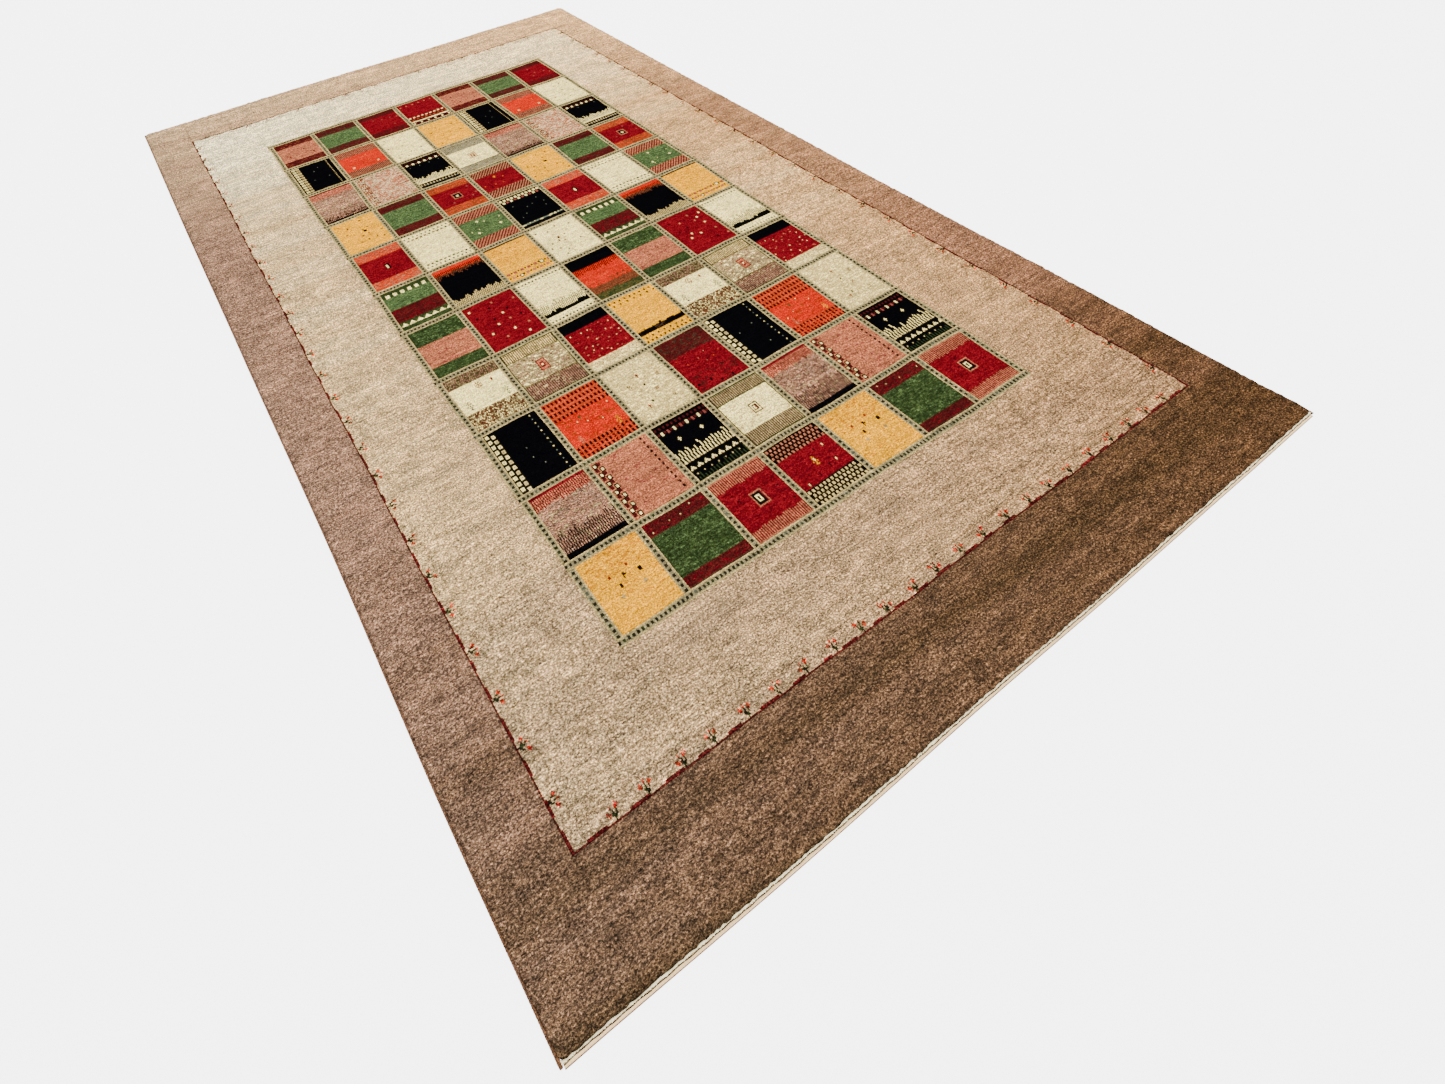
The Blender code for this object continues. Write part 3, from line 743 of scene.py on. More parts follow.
class Patch:
    """A closed slab of pile over a grid of corners, with a colour for each facet.

    The bake map gives the slab one cell, or several where a long strip is shared out along an axis.
    """

    # The sides of the grid, anticlockwise: the corners of a facet on it, and the way out on the bake map.
    sides = ((0, 1, (0.0, -1.0)), (1, 2, (1.0, 0.0)), (2, 3, (0.0, 1.0)), (3, 0, (-1.0, 0.0)))

    def __init__(self, x, y, z, colours, heather_and_shade, softness, cells=((0.0, 0.0, 1.0, 1.0),), axis=0, foot=PILE_FOOT):
        self.x, self.y, self.z = x, y, z
        self.colours = corner_spread(colours, softness)
        self.heather_and_shade = heather_and_shade
        self.cells = cells
        self.axis = axis
        self.foot = foot

    def map_places(self):
        """The bake map's place of each facet's four corners."""
        rows, columns = self.x.shape[0] - 1, self.x.shape[1] - 1
        places = np.empty((rows, columns, 4, 2))
        count = (rows, columns)[self.axis]
        cuts = [round(count * i / len(self.cells)) for i in range(len(self.cells) + 1)]
        for start, end, (left, low, wide, tall) in zip(cuts, cuts[1:], self.cells):
            lines = [np.linspace(0.03, 0.97, n + 1) for n in (rows, columns)]
            lines[self.axis] = np.full(count + 1, 0.5)
            lines[self.axis][start:end + 1] = np.linspace(0.03, 0.97, end - start + 1)
            along, across = lines[0][:, None] + 0 * lines[1], lines[1][None, :] + 0 * lines[0][:, None]
            spots = np.stack((left + across * wide, low + along * tall), axis=-1)
            corners = np.stack((spots[:-1, :-1], spots[:-1, 1:], spots[1:, 1:], spots[1:, :-1]), axis=2)
            span = (slice(start, end), slice(None)) if self.axis == 0 else (slice(None), slice(start, end))
            places[span] = corners[span]
        return places

    def along_side(self, grid, side):
        """The outer facets of one side of a grid of facets, anticlockwise."""
        return (grid[0], grid[:, -1], grid[-1, ::-1], grid[::-1, 0])[side]

    def mesh_parts(self):
        """Vertices, faces, and the colour and map place of each face corner."""
        rows, columns = self.x.shape
        index = np.arange(rows * columns).reshape(rows, columns)
        top = np.stack((index[:-1, :-1], index[:-1, 1:], index[1:, 1:], index[1:, :-1]), axis=-1)
        rim = np.concatenate((index[0, :-1], index[:-1, -1], index[-1, :0:-1], index[:0:-1, 0]))
        foot = rows * columns + np.arange(len(rim))
        wall = np.stack((foot, np.roll(foot, -1), np.roll(rim, -1), rim), axis=-1)
        places = self.map_places()
        reach = np.array(self.cells[0][2:]) * 0.02
        wall_colours, wall_places = [], []
        for side, (first, second, way) in enumerate(self.sides):
            colours = self.along_side(self.colours, side)
            spots = self.along_side(places, side)
            out = reach * way
            wall_colours.append(np.stack([colours[:, k] for k in (first, second, second, first)], axis=1))
            wall_places.append(np.stack((spots[:, first] + out, spots[:, second] + out, spots[:, second],
                                         spots[:, first]), axis=1))
        wall_colours = np.concatenate(wall_colours)
        wall_places = np.concatenate(wall_places)
        points = np.column_stack((self.x.ravel(), self.y.ravel(), self.z.ravel()))
        low = np.column_stack((self.x.ravel()[rim], self.y.ravel()[rim], np.full(len(rim), self.foot)))
        faces = top.reshape(-1, 4).tolist() + wall.tolist() + [foot[::-1].tolist()]
        colours = np.concatenate((self.colours.reshape(-1, 3), wall_colours.reshape(-1, 3),
                                  wall_colours[::-1, 0]))
        corner_places = np.concatenate((places.reshape(-1, 2), wall_places.reshape(-1, 2),
                                        np.tile(wall_places[0, 0], (len(rim), 1))))
        smooth = [True] * ((rows - 1) * (columns - 1)) + [False] * (len(wall) + 1)
        return np.concatenate((points, low)), faces, colours, corner_places, smooth


def build_pile(name, patches, material):
    """One object from closed slabs of pile."""
    points, faces, colours, heathers_and_shades, places, smooth = [], [], [], [], [], []
    count = 0
    for patch in patches:
        patch_points, patch_faces, patch_colours, spots, rounded = patch.mesh_parts()
        points.append(patch_points)
        faces += [[corner + count for corner in face] for face in patch_faces]
        colours.append(patch_colours)
        heathers_and_shades.append(np.full(len(patch_colours), patch.heather_and_shade))
        places.append(spots)
        smooth += rounded
        count += len(patch_points)
    mesh = bpy.data.meshes.new(name)
    mesh.from_pydata(np.concatenate(points), [], faces)
    colour = np.concatenate(colours)
    dye = mesh.attributes.new("Dye", "FLOAT_COLOR", "CORNER")
    dye.data.foreach_set("color", np.column_stack((colour, np.ones(len(colour)))).ravel())
    heather_and_shade = mesh.attributes.new("Heather", "FLOAT", "CORNER")
    heather_and_shade.data.foreach_set("value", np.concatenate(heathers_and_shades))
    bake_map = mesh.uv_layers.new(name="OFBake")
    bake_map.data.foreach_set("uv", np.concatenate(places).ravel())
    mesh.polygons.foreach_set("use_smooth", smooth)
    mesh.materials.append(material)
    obj = bpy.data.objects.new(name, mesh)
    bpy.context.scene.collection.objects.link(obj)
    return obj


def fit_piece(obj, node):
    """Tie a finished piece to the rug's body and hide the solid that it stands for."""
    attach(obj, BODY)
    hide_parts(node)
    return obj


def tufted(x, y, darkness, draw, cut):
    """Heights of cut knots. Dark dyes eat the wool a little, so dark knots stand lower."""
    rough = draw.uniform(-1.0, 1.0, x.shape) * cut - 0.0006 * darkness
    rough[0, :] = rough[-1, :] = 0.0
    rough[:, 0] = rough[:, -1] = 0.0
    return top_height(x, y) + rough


def corner_darkness(colours):
    """How dark the knots round each grid corner are, from 0 to 1."""
    tone = np.clip(1.0 - colours.mean(axis=-1) * 6.0, 0.0, 1.0)
    wide = np.pad(tone, 1, mode="edge")
    return (wide[:-1, :-1] + wide[1:, :-1] + wide[:-1, 1:] + wide[1:, 1:]) / 4


def jiggle(x, y, draw, reach):
    """Move the inner corners of a grid a little, so that no knot is a true square."""
    shift_x = draw.uniform(-reach, reach, x.shape)
    shift_y = draw.uniform(-reach, reach, y.shape)
    for shift in (shift_x, shift_y):
        shift[0, :] = shift[-1, :] = 0.0
        shift[:, 0] = shift[:, -1] = 0.0
    return x + shift_x, y + shift_y


class Wire:
    """A value inside a material. The usual operators add Math nodes."""

    def __init__(self, finish, socket):
        self.finish = finish
        self.socket = socket

    def math(self, operation, *values):
        sockets = {index: value for index, value in enumerate(values)}
        return self.finish.node("ShaderNodeMath", {"operation": operation}, sockets)

    def __add__(self, other):
        return self.math("ADD", self, other)

    __radd__ = __add__

    def __mul__(self, other):
        return self.math("MULTIPLY", self, other)

    __rmul__ = __mul__

    def __sub__(self, other):
        return self.math("SUBTRACT", self, other)

    def __rsub__(self, other):
        return self.math("SUBTRACT", other, self)

    def __pow__(self, other):
        return self.math("POWER", self, other)

    def clamped(self):
        return self.math("MINIMUM", self.math("MAXIMUM", self, 0.0), 1.0)


class Finish:
    """A material under construction: one Principled shader and what feeds it."""

    def __init__(self, name, roughness, sheen=0.0, gloss=0.2):
        self.material = bpy.data.materials.new(name)
        self.material.use_nodes = True
        self.tree = self.material.node_tree
        self.shader = self.tree.nodes["Principled BSDF"]
        self.shader.inputs["Roughness"].default_value = roughness
        self.shader.inputs["Specular IOR Level"].default_value = gloss
        self.shader.inputs["Sheen Weight"].default_value = sheen
        self.shader.inputs["Sheen Roughness"].default_value = 0.45

    def node(self, kind, settings=None, sockets=None, out=0):
        """Add a node with its settings and its sockets' values or links, and return one output."""
        node = self.tree.nodes.new(kind)
        for key, value in (settings or {}).items():
            if key == "stops":
                ramp = node.color_ramp
                while len(ramp.elements) < len(value):
                    ramp.elements.new(0.5)
                for element, (place, colour) in zip(ramp.elements, value):
                    element.position = place
                    element.color = colour
            else:
                setattr(node, key, value)
        for key, value in (sockets or {}).items():
            if isinstance(key, int):
                socket = node.inputs[key]
            else:
                socket = next(s for s in node.inputs if s.enabled and s.name == key)
            if isinstance(value, Wire):
                self.tree.links.new(value.socket, socket)
            else:
                socket.default_value = value
        outputs = [s for s in node.outputs if s.enabled]
        return Wire(self, outputs[out])

    def feed(self, name, wire):
        self.tree.links.new(wire.socket, self.shader.inputs[name])

    def stretched(self, place, scale):
        return self.node("ShaderNodeVectorMath", {"operation": "MULTIPLY"}, {0: place, 1: scale})

    def noise(self, place, scale, detail=2.0, roughness=0.5):
        """Noise about zero, stretched by three scales in waves per metre."""
        vector = self.stretched(place, scale)
        noise = self.node("ShaderNodeTexNoise", {}, {"Vector": vector, "Scale": 1.0, "Detail": detail,
                                                     "Roughness": roughness})
        return noise - 0.5

    def tinted(self, colour, wire):
        """A colour made lighter or darker by a value."""
        return self.node("ShaderNodeVectorMath", {"operation": "SCALE"}, {"Vector": colour, "Scale": wire})

    def bump(self, height, distance, strength=1.0, normal=None):
        sockets = {"Height": height, "Distance": distance, "Strength": strength}
        if normal is not None:
            sockets["Normal"] = normal
        return self.node("ShaderNodeBump", {}, sockets)


def pile_wool():
    """Cut wool pile: the knots' dyes, heathered, with streaks along the rows and fibre tips, and painted shade: dark
    dashes between the knots, and lightness that follows the bump's heights so the hollows are darker.
    """
    finish = Finish("rug_pile_wool", 0.92, sheen=0.0, gloss=0.0)
    place = finish.node("ShaderNodeTexCoord", {}, {}, out=3)
    dye = finish.node("ShaderNodeAttribute", {"attribute_name": "Dye", "attribute_type": "GEOMETRY"}, {}, out=0)
    heather_and_shade = finish.node("ShaderNodeAttribute", {"attribute_name": "Heather", "attribute_type": "GEOMETRY"}, {},
                          out=2)
    rows = finish.noise(place, (3.0, 105.0, 1.0), 3.0, 0.6)
    streaks = finish.noise(place, (30.0, 220.0, 40.0), 2.0, 0.6)
    flecks = finish.noise(place, (230.0, 360.0, 150.0), 2.0, 0.75)
    grain = finish.noise(place, (560.0, 640.0, 300.0), 1.0, 0.6)
    clouds = finish.noise(place, (12.0, 22.0, 5.0), 2.0)
    spots = finish.noise(place, (48.0, 190.0, 60.0), 2.0, 0.6)
    lumps = finish.noise(place, (38.0, 58.0, 30.0), 2.0, 0.6)
    # Painted shade: dark dashes where the pile parts between the knots.
    knots = (spots - 0.17).math("MAXIMUM", spots - 0.17, 0.0)
    # The lightness is partly the wool's own heathered flecks and partly painted shade: flecks, grain and streaks also
    # raise the bump below, so its hollows are painted darker.
    fleck_shade = rows * 1.4 + streaks * 3.0 + flecks * 9.5 + clouds * 1.2 + lumps * 1.0 - knots * 17.0
    shade = heather_and_shade * fleck_shade + flecks * 0.6 + grain * 4.5 - 0.06
    light = finish.node("ShaderNodeMath", {"operation": "POWER"}, {0: 2.0, 1: shade})
    warmth = heather_and_shade * (streaks * 0.5 + clouds * 0.2 + flecks * 0.4)
    tint = finish.node("ShaderNodeCombineXYZ", {}, {0: 1.0 + warmth * 0.5, 1: 1.0, 2: 1.0 - warmth * 0.6})
    finish.feed("Base Color", finish.tinted(finish.stretched(dye, tint), light))
    height = flecks * 1.0 + grain * 0.8 + streaks * 0.4
    finish.feed("Normal", finish.bump(height, 0.0030, 1.0))
    return finish.material


def back_weave():
    """The underside's knot backs and the flat-woven bands: small ribs in rows."""
    finish = Finish("rug_back_weave", 0.9, sheen=0.03, gloss=0.15)
    place = finish.node("ShaderNodeTexCoord", {}, {}, out=3)
    dye = finish.node("ShaderNodeAttribute", {"attribute_name": "Dye", "attribute_type": "GEOMETRY"}, {}, out=0)
    ribs = finish.node("ShaderNodeTexWave", {"wave_type": "BANDS", "bands_direction": "Y", "wave_profile": "SIN"},
                       {"Vector": place, "Scale": 52.0, "Distortion": 1.2, "Detail": 1.0, "Detail Scale": 2.0}, out=1)
    warps = finish.node("ShaderNodeTexWave", {"wave_type": "BANDS", "bands_direction": "X", "wave_profile": "SIN"},
                        {"Vector": place, "Scale": 60.0, "Distortion": 0.8, "Detail": 1.0}, out=1)
    fibres = finish.noise(place, (900.0, 900.0, 900.0), 2.0)
    light = 0.78 + ribs * 0.20 + warps * 0.10 + fibres * 0.30
    finish.feed("Base Color", finish.tinted(dye, light))
    finish.feed("Normal", finish.bump(ribs * 0.6 + warps * 0.4 + fibres * 0.2, 0.0008, 0.7))
    return finish.material


def yarn(name, colour, roughness, mottle, sheen=0.05):
    """Spun yarn of one colour with fine fibres."""
    finish = Finish(name, roughness, sheen=sheen, gloss=0.15)
    place = finish.node("ShaderNodeTexCoord", {}, {}, out=3)
    fibres = finish.noise(place, (1600.0, 1600.0, 1600.0), 2.0)
    clouds = finish.noise(place, (30.0, 60.0, 30.0), 2.0)
    base = finish.node("ShaderNodeRGB", {}, {})
    base.socket.default_value = (*colour, 1.0)
    finish.feed("Base Color", finish.tinted(base, 1.0 + clouds * mottle + fibres * 0.35))
    finish.feed("Normal", finish.bump(fibres, 0.0005, 0.6))
    return finish.material


def shared_material(name, make):
    """A material made once and used by all the pieces of one finish."""
    return bpy.data.materials.get(name) or make()


def wool():
    return shared_material("rug_pile_wool", pile_wool)


def map_cells(count, across):
    """Cells of the bake map, in rows of a given number."""
    down = math.ceil(count / across)
    return [((i % across) / across, (i // across) / down, 1 / across, 1 / down) for i in range(count)]


class RugOperator:
    """What every operator of the rug shares."""

    bl_options = {"REGISTER", "UNDO"}

    def sizes(self):
        return bpy.context.scene.rug_sizes

    def numbers(self, salt):
        return np.random.default_rng(self.sizes().seed * 1000 + salt)


def rim_steps(low, high, cell, rim_low, rim_high):
    """Places across a strip of pile with the height share of each, with the rim's steps at its free edges."""
    insets = np.array([step[0] for step in PILE_RIM])
    shares = np.array([step[1] for step in PILE_RIM])
    places, heights = [], []
    start, end = low, high
    if rim_low:
        places.append(low + insets)
        heights.append(shares)
        start = low + insets[-1] + cell
    if rim_high:
        end = high - insets[-1] - cell
    middle = stations(start, end, cell)
    places.append(middle)
    heights.append(np.ones(len(middle)))
    if rim_high:
        places.append(high - insets[::-1])
        heights.append(shares[::-1])
    return np.concatenate(places), np.concatenate(heights)


def line_corner(side_x, side_y):
    """Where two sides of the red line meet: side_x is -1 or 1 and side_y is -1 or 1."""
    x = (LINE_LEFT if side_x < 0 else LINE_RIGHT)[0 if side_y < 0 else 1]
    y = (LINE_NEAR if side_y < 0 else LINE_FAR)[0 if side_x < 0 else 1]
    return x, y


def red_left(y):
    return line_side(LINE_LEFT, y, LINE_NEAR[0], LINE_FAR[0])


def red_right(y):
    return line_side(LINE_RIGHT, y, LINE_NEAR[1], LINE_FAR[1])


def red_near(x):
    return line_side(LINE_NEAR, x, LINE_LEFT[0], LINE_RIGHT[0])


def red_far(x):
    return line_side(LINE_FAR, x, LINE_LEFT[1], LINE_RIGHT[1])


def outline_x(side, y):
    """The foundation's long edge at a distance along the rug."""
    along = np.clip((y + RUG_LENGTH / 2) / RUG_LENGTH, 0.0, 1.0)
    return plan_place(0.0 if side < 0 else 1.0, along)[0]


def outline_y(end, x):
    """The pile's end edge at a distance across the rug."""
    across = np.clip((x + RUG_WIDTH / 2) / RUG_WIDTH, 0.0, 1.0)
    return plan_place(across, 0.0 if end < 0 else 1.0)[1] - end * BAND_WIDTH


def round_corner(x, y):
    """Pull points near the pile's corners on to rounded corners."""
    for side in (-1, 1):
        for end in (-1, 1):
            corner_x = outline_x(side, np.full(x.shape, end * RUG_LENGTH / 2))
            corner_y = outline_y(end, np.full(x.shape, side * RUG_WIDTH / 2))
            out_x = (x - corner_x) * side + CORNER_ROUNDING
            out_y = (y - corner_y) * end + CORNER_ROUNDING
            near = (out_x > 0) & (out_y > 0)
            length = np.maximum(np.hypot(out_x, out_y), 1e-9)
            pull = np.where(near, np.maximum(out_x, out_y) / length, 1.0)
            x = np.where(near, x + (pull - 1) * out_x * side, x)
            y = np.where(near, y + (pull - 1) * out_y * end, y)
    return x, y


class RUG_OT_border(RugOperator, bpy.types.Operator):
    """Builds the wide border's pile, from the rug's rim to the red line."""

    bl_idname = "loribaft_rug.border"
    bl_label = "Border"

    def execute(self, context):
        for side in (-1, 1):
            self.long_side(side)
        for end in (-1, 1):
            self.end_strip(end)
        return {"FINISHED"}

    def finish_strip(self, name, x, y, share, salt, parts, axis):
        """Give a strip its ragged rim, its heights and its colours, with painted shade darkening its sloping rim, and
        make it an object.
        """
        draw = self.numbers(salt)
        x, y = round_corner(x, y)
        x, y = jiggle(x, y, draw, 0.0006 + 0.0007 * (share < 0.99))
        colours = border_colour(facet_middles(x), facet_middles(y))
        # Painted shade: the rim's facets are painted darker as the pile slopes down, to 0.45 of their colour at the
        # foot.
        painted_rim_shade = facet_middles(share)
        colours = colours * np.clip(0.45 + 0.55 * painted_rim_shade, 0.0, 1.0)[..., None]
        top = tufted(x, y, 0.0, draw, self.sizes().tuft * 1.3)
        z = PILE_FOOT + (top - PILE_FOOT) * share * (1 + draw.uniform(-0.12, 0.12, x.shape) * (share < 0.99))
        patch = Patch(x, y, z, colours, 1.0, 1.0, map_cells(parts, 1), axis)
        fit_piece(build_pile(name, [patch], wool()), "rug_body")

    def long_side(self, side):
        sizes = self.sizes()
        along, along_share = rim_steps(-RUG_LENGTH / 2 + BAND_WIDTH, RUG_LENGTH / 2 - BAND_WIDTH, sizes.rim_cell,
                                       True, True)
        depth = 0.143
        across, across_share = rim_steps(0.0, depth, sizes.plain_cell, True, False)
        y = along[:, None].repeat(len(across), axis=1)
        bend_near = 1 - ease(np.clip((y + RUG_LENGTH / 2) / 0.3, 0, 1))
        bend_far = 1 - ease(np.clip((RUG_LENGTH / 2 - y) / 0.3, 0, 1))
        outer = outline_x(side, y)
        inner = (red_left(y) if side < 0 else red_right(y))
        share = (across / depth)[None, :]
        inset = across[None, :]
        rim_part = np.clip(inset / PILE_RIM[-1][0], 0, 1)
        x_rim = outer - side * inset
        reach = np.abs(inner - outer)
        x_wide = outer - side * (PILE_RIM[-1][0] + (reach - PILE_RIM[-1][0])
                                 * np.clip((inset - PILE_RIM[-1][0]) / (depth - PILE_RIM[-1][0]), 0, 1))
        x = np.where(rim_part < 1, x_rim, x_wide)
        near_shift = outline_y(-1, x) - (-RUG_LENGTH / 2 + BAND_WIDTH)
        far_shift = outline_y(1, x) - (RUG_LENGTH / 2 - BAND_WIDTH)
        y = y + near_shift * bend_near + far_shift * bend_far
        height = np.minimum(along_share[:, None], across_share[None, :]) + 0 * share
        if side > 0:
            x, y, height = x[:, ::-1], y[:, ::-1], height[:, ::-1]
        self.finish_strip(f"border_{'left' if side < 0 else 'right'}", x, y, height, 10 + side, 6, 0)

    def end_strip(self, end):
        sizes = self.sizes()
        across = stations(0.0, 1.0, sizes.rim_cell / (LINE_RIGHT[0] - LINE_LEFT[0]))
        depth = 0.175
        inward, inward_share = rim_steps(0.0, depth, sizes.plain_cell, True, False)
        inset = inward[:, None].repeat(len(across), axis=1)
        rim = PILE_RIM[-1][0]
        red = red_near if end < 0 else red_far
        y = np.full(inset.shape, end * (RUG_LENGTH / 2 - BAND_WIDTH))
        for _ in range(3):
            x = red_left(y) + (red_right(y) - red_left(y)) * across[None, :]
            outer = outline_y(end, x)
            reach = np.abs(red(x) - outer)
            y = outer - end * np.where(inset < rim, inset, rim + (reach - rim) * (inset - rim) / (depth - rim))
        height = inward_share[:, None].repeat(len(across), axis=1)
        if end > 0:
            x, y, height = x[::-1], y[::-1], height[::-1]
        self.finish_strip(f"border_{'near' if end < 0 else 'far'}", x, y, height, 14 + end, 3, 1)


class RUG_OT_line(RugOperator, bpy.types.Operator):
    """Builds the narrow strip of pile with the red line and the flower sprigs inside it."""

    bl_idname = "loribaft_rug.line"
    bl_label = "Red Line and Sprigs"

    def execute(self, context):
        sizes = self.sizes()
        self.deep = int(round(FLOWER_BAND / sizes.line_knot))
        for side in (-1, 1):
            self.side_strip(side)
        for end in (-1, 1):
            self.end_strip(end)
        return {"FINISHED"}

    def chart(self, length, pitch, faint, salt):
        """Dye indices of the strip: rows run inwards from the red line, columns run along it. -1 is field."""
        draw = random.Random(self.sizes().seed * 100 + salt)
        knots = np.full((self.deep, length), -1)
        knots[0, :] = DYE_INDEX["maroon"]
        thick, left = False, 0
        for c in range(length):
            if left == 0:
                thick = not thick
                left = draw.randint(7, 16)
            left -= 1
            if thick:
                knots[1, c] = DYE_INDEX["maroon" if draw.random() < 0.7 else "wine"]
        step = pitch / self.sizes().line_knot
        count = max(1, int(round((length - 2 * 0.8 * step) / step)))
        for i in range(count + 1):
            centre = int(round(0.8 * step + i * (length - 1.6 * step) / count)) + draw.randint(-1, 1)
            self.sprig(knots, centre, draw, faint)
        return knots

    def sprig(self, knots, centre, draw, faint):
        shape = SPRIGS[draw.randrange(len(SPRIGS))]
        flip = draw.choice((1, -1))
        for r, line in enumerate(reversed(shape)):
            line = line[::flip]
            for c, mark in enumerate(line):
                column = centre + c - len(line) // 2
                if mark == "." or not 0 <= column < knots.shape[1]:
                    continue
                if draw.random() < (0.45 if faint else 0.06):
                    continue
                bud = draw.choice(("orange", "red", "orange", "rust"))
                stem = draw.choice(("pine", "moss", "pine"))
                knots[1 + r, column] = DYE_INDEX[bud if mark == "o" else stem]

    def coloured(self, knots, x, y, draw):
        """The strip's colours, with the field's own wool as ground."""
        table = dye_table()
        colours = field_colour(facet_middles(x), facet_middles(y))
        chosen = table[np.clip(knots, 0, None)]
        colours = np.where((knots >= 0)[..., None], chosen, colours)
        return colours * (1 + draw.uniform(-0.10, 0.10, knots.shape))[..., None]

    def side_strip(self, side):
        draw = self.numbers(20 + side)
        red = red_left if side < 0 else red_right
        corner = 0 if side < 0 else 1
        low, high = LINE_NEAR[corner], LINE_FAR[corner]
        along = stations(low, high, self.sizes().line_knot)
        inward = np.linspace(0.0, FLOWER_BAND, self.deep + 1)
        y = along[:, None].repeat(self.deep + 1, axis=1)
        x = red(y) - side * inward[None, :]
        knots = self.chart(len(along) - 1, self.sizes().flower_pitch_sides, False, 30 + side).T
        knots[0, :] = knots[-1, :] = DYE_INDEX["maroon"]
        if side > 0:
            x, y, knots = x[:, ::-1], y[:, ::-1], knots[:, ::-1]
        self.finish_strip(f"line_{'left' if side < 0 else 'right'}", x, y, knots, draw, 5, 0)

    def end_strip(self, end):
        draw = self.numbers(24 + end)
        red = red_near if end < 0 else red_far
        inward = np.linspace(0.0, FLOWER_BAND, self.deep + 1)[:, None]
        across = stations(0.0, 1.0, self.sizes().line_knot / (LINE_RIGHT[0] - LINE_LEFT[0] - 2 * FLOWER_BAND))
        y = np.full((self.deep + 1, len(across)), LINE_NEAR[0] if end < 0 else LINE_FAR[0])
        for _ in range(3):
            left = red_left(y) + FLOWER_BAND
            right = red_right(y) - FLOWER_BAND
            x = left + (right - left) * across[None, :]
            y = red(x) - end * inward
        knots = self.chart(len(across) - 1, self.sizes().flower_pitch_ends, end > 0, 34 + end)
        if end > 0:
            x, y, knots = x[::-1], y[::-1], knots[::-1]
        self.finish_strip(f"line_{'near' if end < 0 else 'far'}", x, y, knots, draw, 3, 1)

    def finish_strip(self, name, x, y, knots, draw, parts, axis):
        colours = self.coloured(knots, x, y, draw)
        x, y = jiggle(x, y, draw, 0.0003)
        z = tufted(x, y, corner_darkness(colours), draw, self.sizes().tuft)
        patch = Patch(x, y, z, colours, 1.0, 0.10, map_cells(parts, 1), axis)
        fit_piece(build_pile(name, [patch], wool()), "rug_body")


class RUG_OT_field(RugOperator, bpy.types.Operator):
    """Builds the plain field's pile, between the red line's strip and the lattice."""

    bl_idname = "loribaft_rug.field"
    bl_label = "Field"

    def execute(self, context):
        for side in (-1, 1):
            self.long_side(side)
        for end in (-1, 1):
            self.end_strip(end)
        return {"FINISHED"}

    def long_side(self, side):
        cell = self.sizes().plain_cell
        red = red_left if side < 0 else red_right
        bar = 0 if side < 0 else PANELS_ACROSS
        share = stations(0.0, 1.0, cell / 0.22)[None, :]
        level = stations(0.0, 1.0, cell / 2.6)[:, None]
        x = np.full((level.shape[0], share.shape[1]), 0.5 * side)
        for _ in range(3):
            low = red_near(x) + FLOWER_BAND
            high = red_far(x) - FLOWER_BAND
            y = low + (high - low) * level
            outer = red(y) - side * FLOWER_BAND
            inner = upright_bar(bar, y) + side * BAR_WIDTH / 2
            x = outer + (inner - outer) * share
        if side > 0:
            x, y = x[:, ::-1], y[:, ::-1]
        self.finish_strip(f"field_{'left' if side < 0 else 'right'}", x, y, 40 + side, 4, 0)

    def end_strip(self, end):
        cell = self.sizes().plain_cell
        bar = 0 if end < 0 else PANELS_ALONG
        share = stations(0.0, 1.0, cell / 1.2)[None, :]
        level = stations(0.0, 1.0, cell / 0.18)[:, None]
        y = np.full((level.shape[0], share.shape[1]), 1.2 * end)
        for _ in range(3):
            low = upright_bar(0, y) - BAR_WIDTH / 2
            high = upright_bar(PANELS_ACROSS, y) + BAR_WIDTH / 2
            x = low + (high - low) * share
            outer = (red_near(x) if end < 0 else red_far(x)) - end * FLOWER_BAND
            inner = cross_bar(bar, x) + end * BAR_WIDTH / 2
            y = outer + (inner - outer) * level
        if end > 0:
            x, y = x[::-1], y[::-1]
        self.finish_strip(f"field_{'near' if end < 0 else 'far'}", x, y, 44 + end, 3, 1)

    def finish_strip(self, name, x, y, salt, parts, axis):
        draw = self.numbers(salt)
        x, y = jiggle(x, y, draw, 0.0008)
        colours = field_colour(facet_middles(x), facet_middles(y))
        z = tufted(x, y, 0.0, draw, self.sizes().tuft * 1.3)
        patch = Patch(x, y, z, colours, 1.0, 1.0, map_cells(parts, 1), axis)
        fit_piece(build_pile(name, [patch], wool()), "rug_body")


